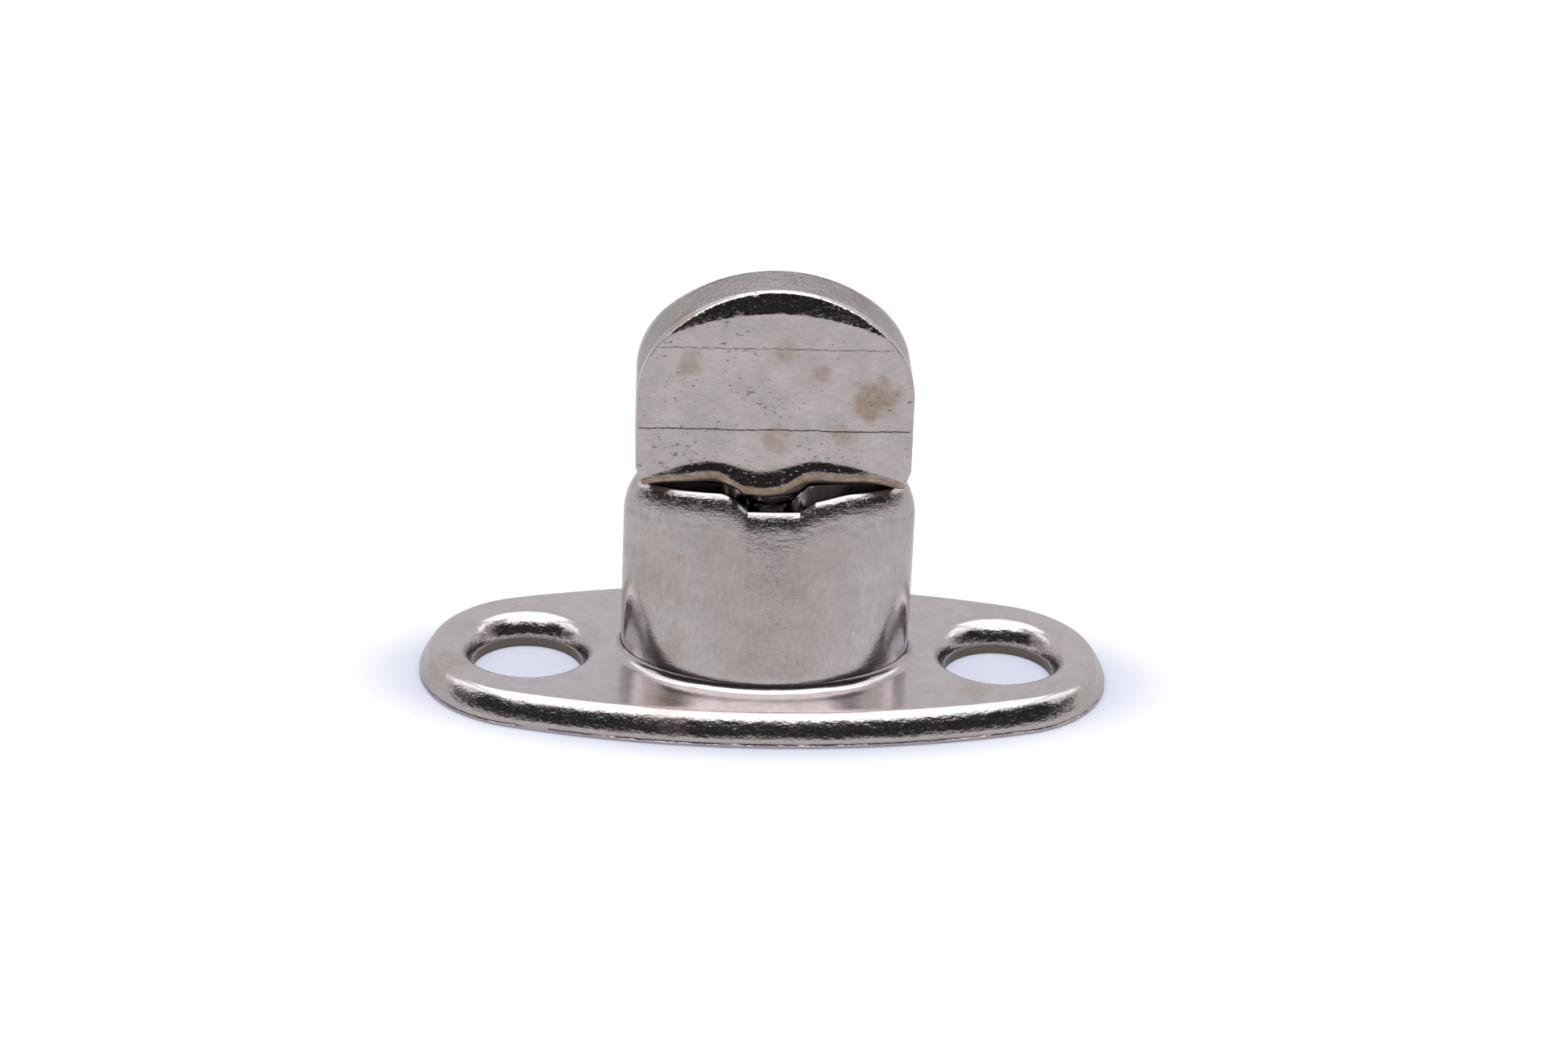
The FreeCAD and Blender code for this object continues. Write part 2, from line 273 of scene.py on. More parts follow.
class Skin:
    """Vertices and faces of one piece, in metres."""

    def __init__(self):
        self.points = []
        self.faces = []

    def rows(self, loops):
        """Bands of quads between closed loops that have equally many points."""
        start = len(self.points)
        count = len(loops[0])
        for loop in loops:
            self.points.extend(map(tuple, loop))
        for row in range(len(loops) - 1):
            for index in range(count):
                after = (index + 1) % count
                low = start + row * count
                high = low + count
                self.faces.append((low + index, low + after, high + after, high + index))

    def sheet(self, loops, lines, scatter, place):
        """Triangulated sheet inside the first loop and outside the others, along the lines."""
        flat = []
        edges = []
        for loop in loops:
            start = len(flat)
            flat.extend(loop)
            edges.extend((start + i, start + (i + 1) % len(loop)) for i in range(len(loop)))
        for line in lines:
            start = len(flat)
            flat.extend(line)
            edges.extend((start + i, start + i + 1) for i in range(len(line) - 1))
        flat.extend(scatter)
        scaled = [Vector((float(point[0]), float(point[1]))) / MM for point in flat]
        made = delaunay_2d_cdt(scaled, edges, [], 0, SHEET_PRECISION)
        points = np.array([tuple(point) for point in made[0]]) * MM
        faces = np.array(made[2])
        centres = points[faces].mean(axis=1)
        kept = within(centres, np.array(loops[0]))
        for loop in loops[1:]:
            kept &= ~within(centres, np.array(loop))
        first = points[faces[:, 1]] - points[faces[:, 0]]
        second = points[faces[:, 2]] - points[faces[:, 0]]
        kept &= np.abs(first[:, 0] * second[:, 1] - first[:, 1] * second[:, 0]) > LEAST_DOUBLE_AREA
        faces = faces[kept]
        used, packed = np.unique(faces, return_inverse=True)
        start = len(self.points)
        self.points.extend(map(tuple, place(points[used])))
        self.faces.extend(map(tuple, packed.reshape(faces.shape) + start))

    def build(self, name, sharp_angle, relief=None):
        """Mesh object: merged, faced outwards, with relief pressed into it and sharp edges kept."""
        work = bmesh.new()
        verts = [work.verts.new(point) for point in self.points]
        for face in self.faces:
            if len(set(face)) == len(face):
                work.faces.new([verts[index] for index in face])
        bmesh.ops.remove_doubles(work, verts=work.verts, dist=MERGE_GAP)
        bmesh.ops.dissolve_degenerate(work, edges=work.edges, dist=LEAST_EDGE)
        loose = [vert for vert in work.verts if not vert.link_faces]
        bmesh.ops.delete(work, geom=loose, context="VERTS")
        bmesh.ops.recalc_face_normals(work, faces=work.faces)
        work.normal_update()
        if relief:
            places = np.array([tuple(vert.co) for vert in work.verts])
            normals = np.array([tuple(vert.normal) for vert in work.verts])
            moved = places - normals * relief(places, normals)[:, None]
            for vert, point in zip(work.verts, moved):
                vert.co = point
        mesh = bpy.data.meshes.new(name)
        work.to_mesh(mesh)
        work.free()
        mesh.shade_smooth()
        mesh.set_sharp_from_angle(angle=math.radians(sharp_angle))
        return new_object(name, mesh)


def mesh_places(piece):
    """Corner points of a finished piece."""
    places = np.empty(3 * len(piece.data.vertices))
    piece.data.vertices.foreach_get("co", places)
    return places.reshape(-1, 3)


def note_depth(piece, name, depth):
    """Keeps a depth in millimetres at each corner point, for the material to read."""
    kept = piece.data.attributes.new(name, "FLOAT", "POINT")
    kept.data.foreach_set("value", depth / MM)


def level(loop, height):
    """Flat loop set at a height, or at one height for each of its points."""
    loop = np.asarray(loop)
    return np.column_stack([loop, np.broadcast_to(height, len(loop))])


def circle(centre_x, radius, count):
    """Closed circle on the long axis."""
    angle = full_turn(count)
    return np.column_stack([centre_x + radius * np.cos(angle), radius * np.sin(angle)])


# ---------------------------------------------------------------- base plate

# Angle in degrees between the wall and upright where each rounding starts.
RIM_START = 18
DISH_START = 15
COLLAR_START = 12

HOLE_COUNT = 160
WINDOW_COUNT = 320


class Roll:
    """Compound rounding: a large radius from a steep start, then a small one up to the flat."""

    def __init__(self, start, large, small, steps=9, bend=36):
        start = math.radians(start)
        bend = math.radians(bend)
        first = np.linspace(start, bend, steps)
        second = np.linspace(bend, math.pi / 2, steps)[1:]
        low = small * (1 - math.sin(bend))
        across = large * (math.cos(start) - math.cos(bend))
        self.inset = np.concatenate([
            large * (math.cos(start) - np.cos(first)),
            across + small * (math.cos(bend) - np.cos(second)),
        ])
        self.drop = np.concatenate([
            low + large * (math.sin(bend) - np.sin(first)),
            small * (1 - np.sin(second)),
        ])
        self.width = self.inset[-1]

    def at(self, distance):
        """Height lost at a distance from the steep start."""
        return np.interp(distance, self.inset, self.drop)


def plate_rolls(plate):
    """The roundings of the plate's rim, of its screw holes and of its collar."""
    rim = Roll(RIM_START, plate.brow_radius, plate.rim_radius)
    dish = Roll(DISH_START, plate.dish_large, plate.dish_small)
    collar = Roll(COLLAR_START, plate.collar_large, plate.collar_small)
    return rim, dish, collar


class Outline:
    """The plate's outline: two shallow side arcs joined by tangent end circles."""

    def __init__(self, radius):
        self.radius = radius
        self.half = plate_high.x
        self.width = plate_high.y
        self.centre = self.half - radius
        spread = self.centre ** 2 + self.width ** 2 - radius ** 2
        self.side_radius = spread / (2 * (self.width - radius))
        self.side_centre = self.side_radius - self.width
        self.touch = math.atan2(self.centre, self.side_centre)

    def loop(self, inset, side_count=240, end_count=130):
        """Closed loop moved inwards by a distance, or by one distance for each point."""
        touch = self.touch
        points = []
        sectors = (
            (-touch, touch, side_count, 0, -self.side_centre, self.side_radius),
            (touch, math.pi - touch, end_count, self.centre, 0, self.radius),
            (math.pi - touch, math.pi + touch, side_count, 0, self.side_centre, self.side_radius),
            (math.pi + touch, 2 * math.pi - touch, end_count, -self.centre, 0, self.radius),
        )
        inset = np.broadcast_to(inset, 2 * (side_count + end_count))
        for start, end, count, x, y, radius in sectors:
            angle = start + (end - start) * np.arange(count) / count
            reach = radius - inset[len(points):len(points) + count]
            points.extend(zip(x + reach * np.sin(angle), y + reach * np.cos(angle)))
        return np.array(points)

    def depth(self, x, y):
        """Distance of a point inside the outline."""
        x, y = np.abs(x), np.abs(y)
        at_end = np.arctan2(x, y + self.side_centre) > self.touch
        end = self.radius - np.hypot(x - self.centre, y)
        side = self.side_radius - np.hypot(x, y + self.side_centre)
        return np.where(at_end, end, side)


def oval(half_length, half_width, growth, count):
    """Ellipse grown outwards by a distance."""
    turn = full_turn(count)
    return np.column_stack([(half_length + growth) * np.cos(turn), (half_width + growth) * np.sin(turn)])


def oval_growth(x, y, half_length, half_width):
    """How far an ellipse has to grow to reach each point."""
    halvings = 40
    low = np.full(len(x), -half_width * 0.9)
    high = np.full(len(x), half_length * 3)
    for _ in range(halvings):
        middle = (low + high) / 2
        outside = (x / (half_length + middle)) ** 2 + (y / (half_width + middle)) ** 2 > 1
        low = np.where(outside, middle, low)
        high = np.where(outside, high, middle)
    return (low + high) / 2


def hole_place(plate):
    """Distance of each screw hole from the middle."""
    return plate_high.x - plate.hole_end


def foot_halves(post):
    """Half length and half width of the post's foot."""
    return post.foot_length / 2, post.foot_width / 2


def plate_top(plate, post, x, y):
    """Height of the plate's upper surface inside its rim."""
    height = np.full(len(x), plate.height)
    _, dish, collar = plate_rolls(plate)
    for side in (-1, 1):
        away = np.hypot(x - side * hole_place(plate), y) - plate.hole_radius
        height -= dish.at(away)
    return height + collar.at(oval_growth(x, y, *foot_halves(post)))


def sheared_edge(plate, outline):
    """Loops up the plate's edge: a small foot rounding, then a ragged break that gapes in places."""
    plain = level(outline.loop(0), 0)
    burr = plate.burr_height + (
        wobble(plain, 0.55 * MM, 1) * 0.035 * MM + wobble(plain, 0.12 * MM, 2) * 0.012 * MM
    )
    open_share = smoothstep(wobble(plain, 2.2 * MM, 3), -0.25, 0.05)
    gape = 0.028 * MM * (0.35 + 0.65 * open_share)
    torn = plate.burr_depth * open_share
    loops = [
        level(outline.loop(0.05 * MM), 0),
        level(outline.loop(0.012 * MM), 0.02 * MM),
        level(outline.loop(0), 0.06 * MM),
    ]
    for depth, rise in ((0, -1.4), (0.6, -0.7), (1, 0), (0.6, 0.7), (0, 1.4)):
        loops.append(level(outline.loop(torn * depth), burr + gape * rise))
    return loops


def build_plate(plate, post):
    """Base plate: rolled rim, sheared edge, dished screw holes and drawn collar."""
    outline = Outline(plate.end_radius)
    skin = Skin()
    rim, dish, collar = plate_rolls(plate)
    edge = sheared_edge(plate, outline)
    for inset, drop in zip(rim.inset, rim.drop):
        edge.append(level(outline.loop(inset), plate.height - drop))
    skin.rows(edge)

    hole_x = hole_place(plate)
    holes = [circle(side * hole_x, plate.hole_radius, HOLE_COUNT) for side in (-1, 1)]
    gap = 0.02 * MM
    foot = foot_halves(post)
    window = oval(*foot, gap, WINDOW_COUNT)
    lines = []
    for reach in dish.inset[1:]:
        for side in (-1, 1):
            lines.append(closed(circle(side * hole_x, plate.hole_radius + reach, HOLE_COUNT)))
    for reach in collar.inset[1:]:
        lines.append(closed(oval(*foot, max(reach, 1.5 * gap), WINDOW_COUNT)))
    pitch = 0.3 * MM
    grid = lattice(range(-30, 31), range(-56, 57), pitch, squeeze=0.87)
    free = (outline.depth(grid[:, 0], grid[:, 1]) > rim.width + pitch * 0.5)
    free &= oval_growth(grid[:, 0], grid[:, 1], *foot) > collar.width + pitch * 0.3
    for side in (-1, 1):
        away = np.hypot(grid[:, 0] - side * hole_x, grid[:, 1])
        free &= away > plate.hole_radius + dish.width + pitch * 0.3

    def place_top(flat):
        return level(flat, plate_top(plate, post, flat[:, 0], flat[:, 1]))

    skin.sheet([outline.loop(rim.width), *holes, window], lines, grid[free], place_top)

    ceiling = plate.height - plate.sheet
    bend = 0.2 * MM
    half_bend = 0.06 * MM
    skin.rows([
        level(outline.loop(0.05 * MM), 0),
        level(outline.loop(plate.sheet), 0),
        level(outline.loop(plate.sheet), ceiling - bend),
        level(outline.loop(plate.sheet + half_bend), ceiling - half_bend),
        level(outline.loop(plate.sheet + bend), ceiling),
    ])
    bosses = [circle(side * hole_x, plate.hole_radius + plate.sheet, HOLE_COUNT) for side in (-1, 1)]
    for wall, boss in zip(holes, bosses):
        skin.rows([
            place_top(wall),
            level(wall, 0.04 * MM),
            level(wall, 0),
            level(boss, 0),
            level(boss, ceiling),
        ])
    skin.sheet([outline.loop(plate.sheet + bend), *bosses, window], [], [], lambda flat: level(flat, ceiling))
    skin.rows([level(window, ceiling), place_top(window)])

    def relief(places, normals):
        upper = smoothstep(places[:, 2], 0.5 * MM, 0.9 * MM)
        return (0.022 * MM * dent(places, 2.6 * MM, 4) + 0.003 * MM * dent(places, 0.7 * MM, 5)) * upper

    return skin.build("base_plate_skin", 32, relief)


# ---------------------------------------------------------------- post


# Where the groove's banks start and end along the post, in millimetres.
BANK_MARKS = np.array([-1.95, -1.1, 1.25, 2.0])
BROW_END = math.radians(34)
BORE_COUNT = 96


def groove_share(x):
    """How deep the groove is at each place along the post, from 0 at its banks to 1 at its floor."""
    x = np.asarray(x) / MM
    left_end, right_start, right_end = BANK_MARKS[1:]
    left = np.clip((left_end - x) / 0.85, 0, 1.6)
    bank = 1 - left
    soften = 0.55
    round_over = np.where(
        left > 1 - soften, np.where(left < 1 + soften, (1 + soften - left) ** 2 / (4 * soften), 0), bank
    )
    left_share = np.where(x < 0, round_over, 1)
    steep = 1 - 0.6 * np.clip((x - right_start) / 0.75, 0, 1)
    slow = 0.4 * (1 - smoothstep(x, 1.55, 3.75)) / (1 - smoothstep(right_end, 1.55, 3.75))
    right_share = np.where(x < right_end, steep, slow)
    return np.where(x < 0, left_share, np.minimum(right_share, 1))


def post_roof(post, x):
    """Height of the post's top along its length."""
    return post_high.z - post.groove_depth * groove_share(x)


def build_post(post, plate):
    """Drawn post: oval foot, leaning walls, rounded rim, grooved top, flange and hollow inside."""
    skin = Skin()
    power = 2.25
    half_length = post.flat_length / 2
    half_width = post.flat_width / 2
    reach = 0.965 * half_length
    columns = [-reach]
    while columns[-1] < reach:
        x = columns[-1]
        near = np.min(np.abs(x - BANK_MARKS * MM))
        columns.append(x + (0.05 if near < 0.3 * MM else 0.13) * MM)
    columns[-1] = reach
    columns = np.array(columns)
    end_steps = 28
    tip_angle = math.acos((reach / half_length) ** (power / 2))
    tips = tip_angle * (1 - 2 * np.arange(1, end_steps) / end_steps)

    def corner(angle):
        """Point of the flat top's curve at an angle."""
        cosine, sine = np.cos(angle), np.sin(angle)
        x = half_length * np.sign(cosine) * np.abs(cosine) ** (2 / power)
        return np.column_stack([x, half_width * np.sign(sine) * np.abs(sine) ** (2 / power)])

    back_y = half_width * (1 - np.abs(columns / half_length) ** power) ** (1 / power)
    back = np.column_stack([columns, back_y])
    right_tip = corner(tips)
    front = np.column_stack([columns[::-1], -back_y[::-1]])
    left_tip = np.column_stack([-right_tip[::-1, 0], right_tip[::-1, 1]])
    flat = np.vstack([back, right_tip, front, left_tip])
    x, y = flat[:, 0], flat[:, 1]
    normal = np.column_stack([
        np.sign(x) * np.abs(x / half_length) ** (power - 1) / half_length,
        np.sign(y) * np.abs(y / half_width) ** (power - 1) / half_width,
    ])
    normal = unit(normal)

    foot_height = plate.height + plate.collar_height
    rim_radius = post.rim_radius
    brow_radius = post.brow_radius
    shoulder = rim_radius * math.cos(BROW_END)
    outer = flat + normal * (shoulder + 0.25 * brow_radius)
    span = outer.max(axis=0)
    turn = np.arctan2(outer[:, 1] / span[1], outer[:, 0] / span[0])
    foot_length, foot_width = foot_halves(post)
    foot = np.column_stack([foot_length * np.cos(turn), foot_width * np.sin(turn)])
    foot_normal = np.column_stack([foot[:, 0] / post.foot_length ** 2, foot[:, 1] / post.foot_width ** 2])
    foot_normal = unit(foot_normal)
    spread = np.sum((foot - outer) * normal, axis=1)
    lean = np.arctan2(spread, post_high.z - brow_radius * 0.45 - foot_height)

    def brow(step, steps):
        """Loop on the large radius, from the leaning wall at step 0 to the rim."""
        turn = lean + (BROW_END - lean) * step / steps
        out = shoulder + brow_radius * (np.cos(turn) - math.cos(BROW_END))
        loop = flat + normal * out[:, None]
        drop = rim_radius * (1 - math.sin(BROW_END))
        drop = drop + brow_radius * (math.sin(BROW_END) - np.sin(turn))
        return level(loop, post_roof(post, loop[:, 0]) - drop)

    def rim(step, steps):
        """Loop on the small radius, from the brow at step 0 to the flat top."""
        turn = BROW_END + (math.pi / 2 - BROW_END) * step / steps
        loop = flat + normal * rim_radius * math.cos(turn)
        return level(loop, post_roof(post, loop[:, 0]) - rim_radius * (1 - math.sin(turn)))

    def ladder(bottom, top, steps):
        """Loops on the straight lines between two loops, without the two themselves."""
        return [bottom + (top - bottom) * step / steps for step in range(1, steps)]

    brow_steps = 10
    rim_steps = 8
    outer_foot = level(foot, foot_height)
    outer_wall_top = brow(0, brow_steps)
    clinch = plate.height - plate.sheet - 0.02 * MM
    wide = foot + foot_normal * post.flange
    inner_foot = foot - foot_normal * post.wall
    outside = [
        level(inner_foot, post.flange_lift),
        level(wide, post.flange_lift),
        level(wide, clinch),
        level(foot, clinch),
        outer_foot,
        *ladder(outer_foot, outer_wall_top, 26),
    ]
    outside += [brow(step, brow_steps) for step in range(brow_steps)]
    outside += [rim(step, rim_steps) for step in range(rim_steps + 1)]
    skin.rows(outside)

    bore = circle(0, post.bore_radius, BORE_COUNT)
    bore_edge = 0.1 * MM
    pitch = 0.16 * MM
    bank_lines = []
    for column, y_edge in zip(columns[1:-1], back_y[1:-1]):
        count = max(int(2 * y_edge / pitch), 3)
        steps = np.linspace(-y_edge, y_edge, count)
        steps = steps[np.hypot(column, steps) > post.bore_radius + 0.03 * MM]
        bank_lines.append(np.column_stack([np.full(len(steps), column), steps]))
    scatter = np.vstack(bank_lines)
    scatter = scatter[np.abs(scatter[:, 1]) < 0.999 * np.interp(scatter[:, 0], columns, back_y)]
    lip = circle(0, post.bore_radius + bore_edge, BORE_COUNT)

    def place_roof(points):
        height = post_roof(post, points[:, 0])
        away = np.hypot(points[:, 0], points[:, 1]) - post.bore_radius
        return level(points, height - quarter(bore_edge - away, bore_edge))

    skin.sheet([flat, bore], [closed(lip)], scatter, place_roof)

    inner_start = level(inner_foot, foot_height)
    wall_top = outer_wall_top[:, :2] - normal * post.wall
    inner_top = level(wall_top, post_roof(post, wall_top[:, 0]) - 0.95 * MM)
    ceiling_edge = flat - normal * 0.3 * MM
    ceiling_loop = level(ceiling_edge, post_roof(post, ceiling_edge[:, 0]) - post.wall)
    inside = [level(inner_foot, post.flange_lift), inner_start, *ladder(inner_start, inner_top, 12)]
    inside += [inner_top, ceiling_loop]
    skin.rows(inside)

    def place_ceiling(points):
        return level(points, post_roof(post, points[:, 0]) - post.wall)

    skin.sheet([ceiling_edge, bore], [], scatter[::3][within(scatter[::3], ceiling_edge)], place_ceiling)
    skin.rows([place_roof(bore), place_ceiling(bore)])

    def relief(places, normals):
        soft = dent(places * (1, 1, 0.6), 2.8 * MM, 11)
        fine = dent(places, 0.6 * MM, 12)
        outer_side = smoothstep(places[:, 2], plate.height, foot_height)
        return (0.016 * MM * soft + 0.003 * MM * fine) * outer_side

    piece = skin.build("post_skin", 32, relief)
    places = mesh_places(piece)
    note_depth(piece, "below_roof", post_roof(post, places[:, 0]) - places[:, 2])
    return piece


# ---------------------------------------------------------------- head


# Along the head, in millimetres: the peaks of its lower edge and the valley between them.
LEFT_PEAK = -2.9
RIGHT_PEAK = 2.0
VALLEY = -0.5

BOSS_DEPTH = 0.5 * MM
HEAD_BASE = head_low.z + BOSS_DEPTH

# Height above the feet, noise seed and relative depth of each casting line.
CREASES = ((3.1 * MM, 21, 1.0), (7.0 * MM, 22, 0.8))


def arch_line(x):
    """Height above the feet where each face starts to turn under, along the head."""
    x = np.asarray(x) / MM
    left = 1.6 - 0.95 * np.clip((LEFT_PEAK - x) / 3.1, 0, 1.2) ** 1.6
    right = 1.68 - 1.0 * np.clip((x - RIGHT_PEAK) / 3.9, 0, 1.2) ** 1.5
    dip_left = 1.6 - 0.4 * smoothstep(x, LEFT_PEAK, VALLEY)
    dip_right = 1.68 - 0.48 * (1 - smoothstep(x, VALLEY, RIGHT_PEAK))
    middle = np.where(x < VALLEY, dip_left, dip_right)
    return np.where(x < LEFT_PEAK, left, np.where(x > RIGHT_PEAK, right, middle)) * MM


def along_lip(x, plain, near, far):
    """Size that changes along the lip: more near the valley, less towards the feet."""
    away = np.abs(np.asarray(x) / MM - VALLEY)
    return (plain + near * (1 - smoothstep(away, 0.8, 2.2)) - far * smoothstep(away, 3.2, 5.4)) * MM


def lip_drop(x):
    """How far below that line each face flares out to its lip, along the head."""
    return along_lip(x, 0.5, 0.3, 0.35)


def flare(x):
    """How far the lip stands out from the face, along the head."""
    return along_lip(x, 0.2, 0.18, 0.14)


def sole_line(x):
    """Height of the underside above the feet: shallow hollows beside a boss that enters the groove."""
    x = np.abs(np.asarray(x)) / MM
    hollow = 0.16 * (1 - np.clip((x - 3.7) / 2.0, -1, 1) ** 2)
    boss = 1 - smoothstep(x, 1.15, 1.75)
    return (hollow * (1 - boss) - 0.5 * boss) * MM


def head_half(head, x, z):
    """Half thickness of the head at each place of its face."""
    base = HEAD_BASE
    top = head_high.z
    bends = [base + head.chamfer_height, base + CREASES[0][0], base + CREASES[1][0], top]
    half = np.interp(z, bends, np.array([2.05, 1.85, 1.67, 1.63]) * MM)
    arc = np.hypot(x, z - (top - head.bevel_width - head.bevel_radius)) - head.bevel_radius
    ragged = wobble(np.column_stack([x, np.zeros(len(x)), z]), 0.2 * MM, 23) * 0.06 * MM
    arc = np.where(arc > -0.1 * MM, arc + ragged, arc)
    half = half - np.clip(arc, 0, None) * head.bevel_depth / head.bevel_width
    start = base + arch_line(x)
    lip = start - lip_drop(x)
    sole = base + sole_line(x)
    out = np.clip((start - z) / (start - lip), 0, None)
    flared = half + flare(x) * out ** 1.25
    under = np.clip((lip - z) / np.maximum(lip - sole, 0.1 * MM), -1, 1)
    tucked = half + flare(x) - (0.25 * under + 1.2 * np.clip(under, 0, 1) ** 3) * head.tuck
    blend = 0.05 * MM
    lower = (flared + tucked - np.sqrt((flared - tucked) ** 2 + blend * blend)) / 2
    lower = np.minimum(lower, flared)
    boss = np.sqrt(np.clip(head.boss_radius ** 2 - x * x, (0.3 * MM) ** 2, None))
    boss += 6 * np.clip(z - base + 0.22 * MM, 0, None)
    return np.where(z < start, np.minimum(lower, boss), half)


def arc(x, z, radius, angles):
    """Points on a circle at some angles."""
    return [(x + radius * math.cos(angle), z + radius * math.sin(angle)) for angle in angles]


def head_outline(head):
    """Closed outline of the head seen from the front, as its upper part and its underside."""
    base = HEAD_BASE
    half = head_high.x
    crown_centre = head_high.z - head.crown_radius
    corner_x = half - head.corner_radius
    corner_z = crown_centre + math.sqrt((head.crown_radius - head.corner_radius) ** 2 - corner_x ** 2)
    tilt = math.atan2(corner_z - crown_centre, corner_x)
    foot = half - head.chamfer_length
    side = base + head.chamfer_height
    right = [(foot + (half - foot) * part, base + (side - base) * part) for part in np.linspace(0, 1, 9)]
    right += [(half, height) for height in np.linspace(side, corner_z, 16)[1:-1]]
    right += arc(corner_x, corner_z, head.corner_radius, np.linspace(0, tilt, 44)[:-1])
    right += arc(0, crown_centre, head.crown_radius, np.linspace(tilt, math.pi / 2, 90))
    left = [(-x, z) for x, z in right[-2::-1]]
    sole_x = np.linspace(-foot, foot, 150)[1:-1]
    sole = np.column_stack([sole_x, base + sole_line(sole_x)])
    return np.array(right + left), sole


def build_head(head):
    """Head: facets with casting lines, crescent bevel, crown band, tucked underside and boss."""
    base = HEAD_BASE
    upper, sole = head_outline(head)
    outline = np.vstack([upper, sole])
    ahead = np.roll(upper, -1, axis=0) - np.roll(upper, 1, axis=0)
    ahead[0] = upper[1] - upper[0]
    ahead[-1] = upper[-1] - upper[-2]
    inward = unit(np.column_stack([-ahead[:, 1], ahead[:, 0]]))
    radius = head.edge_radius
    lines = []
    rounding = []
    edge_steps = 5
    for step in range(1, edge_steps + 1):
        rounding.append(upper + inward * radius * (1 - math.cos(math.pi / 2 * step / edge_steps)))

    line_count = 110
    across = np.linspace(-head_high.x, head_high.x, line_count)
    creases = []
    crease_width = 0.045 * MM
    border = 0.14 * MM
    inner_half = 6.2 * MM
    bevel_swing = 0.47
    for crease, seed, depth in CREASES:
        flat = np.column_stack([across, np.zeros(line_count), np.full(line_count, crease)])
        wander = wobble(flat, 1.1 * MM, seed) * 0.05 * MM + wobble(flat, 0.3 * MM, seed) * 0.035 * MM
        creases.append((base + crease + wander, crease_width, depth))
    for middle, width, depth in creases:
        for offset in (-2.2, -1, 0, 1, 2.2):
            lines.append(np.column_stack([across, middle + offset * width]))
    bevel_centre = head_high.z - head.bevel_width - head.bevel_radius
    swing = np.linspace(-bevel_swing, bevel_swing, 120)
    for offset in (-0.04 * MM, 0.0, 0.04 * MM):
        reach = head.bevel_radius + offset
        lines.append(np.column_stack([reach * np.sin(swing), bevel_centre + reach * np.cos(swing)]))
    inner_x = np.linspace(-inner_half, inner_half, 170)
    start = base + arch_line(inner_x)
    lip = start - lip_drop(inner_x)
    sole_z = base + sole_line(inner_x)
    for part in (0, 0.2, 0.4, 0.6, 0.75, 0.88, 1):
        lines.append(np.column_stack([inner_x, start + (lip - start) * part]))
    for part in (0.04, 0.1, 0.2, 0.32, 0.45, 0.58, 0.7, 0.8, 0.88, 0.94, 0.98):
        lines.append(np.column_stack([inner_x, lip + (sole_z - lip) * part]))
    pitch = 0.22 * MM
    grid = lattice(range(3, 46), range(-29, 30), pitch, base=base)
    free = within(grid, outline) & (clearance(grid, upper) > radius * 1.6)
    free &= grid[:, 1] > base + arch_line(grid[:, 0]) + pitch * 0.4
    for middle, width, depth in creases:
        line = np.interp(grid[:, 0], across, middle)
        free &= np.abs(grid[:, 1] - line) > 3.2 * width
    bevel_gap = np.hypot(grid[:, 0], grid[:, 1] - bevel_centre) - head.bevel_radius
    free &= np.abs(bevel_gap) > 0.1 * MM

    def face(points):
        """Half thickness with the edge rounding and the casting lines."""
        x, z = points[:, 0], points[:, 1]
        half = head_half(head, x, z)
        starts, ends = upper[:-1], upper[1:]
        along = ends - starts
        size = np.sum(along * along, axis=1)
        nearest = np.full(len(points), 1.0)
        for start, step, square in zip(starts, along, size):
            place = np.clip(((points - start) @ step) / square, 0, 1)
            away = np.hypot(x - start[0] - place * step[0], z - start[1] - place * step[1])
            nearest = np.minimum(nearest, away)
        half = half - quarter(radius - nearest, radius)
        for middle, width, depth in creases:
            away = np.abs(z - np.interp(x, across, middle))
            half = half - head.crease_depth * depth * np.clip(1 - away / width, 0, 1)
        return half

    skin = Skin()
    trimmed = [line[within(line, outline)] for line in rounding]
    for line in lines:
        kept = within(line, outline) & (clearance(line, upper) > border)
        runs = np.split(np.arange(len(line)), np.flatnonzero(~kept))
        trimmed += [line[run[kept[run]]] for run in runs if np.sum(kept[run]) > 2]
    for facing in (-1, 1):
        skin.sheet(
            [outline],
            trimmed,
            grid[free],
            lambda flat: np.column_stack([flat[:, 0], facing * face(flat), flat[:, 1]]),
        )
    half = face(outline)
    band = []
    for part in np.linspace(-1, 1, 15):
        band.append(np.column_stack([outline[:, 0], half * part, outline[:, 1]]))
    skin.rows(band)

    def relief(places, normals):
        soft = dent(places, 2.2 * MM, 31)
        fine = dent(places, 0.55 * MM, 32)
        hammer = dent(places, 0.3 * MM, 33)
        crown = smoothstep(np.abs(normals[:, 1]), 0.8, 0.2)
        return 0.012 * MM * soft + 0.003 * MM * fine + 0.006 * MM * hammer * crown

    piece = skin.build("head_skin", 34, relief)
    places = mesh_places(piece)
    lip = base + arch_line(places[:, 0]) - lip_drop(places[:, 0])
    note_depth(piece, "below_lip", lip - places[:, 2])
    return piece


# ---------------------------------------------------------------- spring


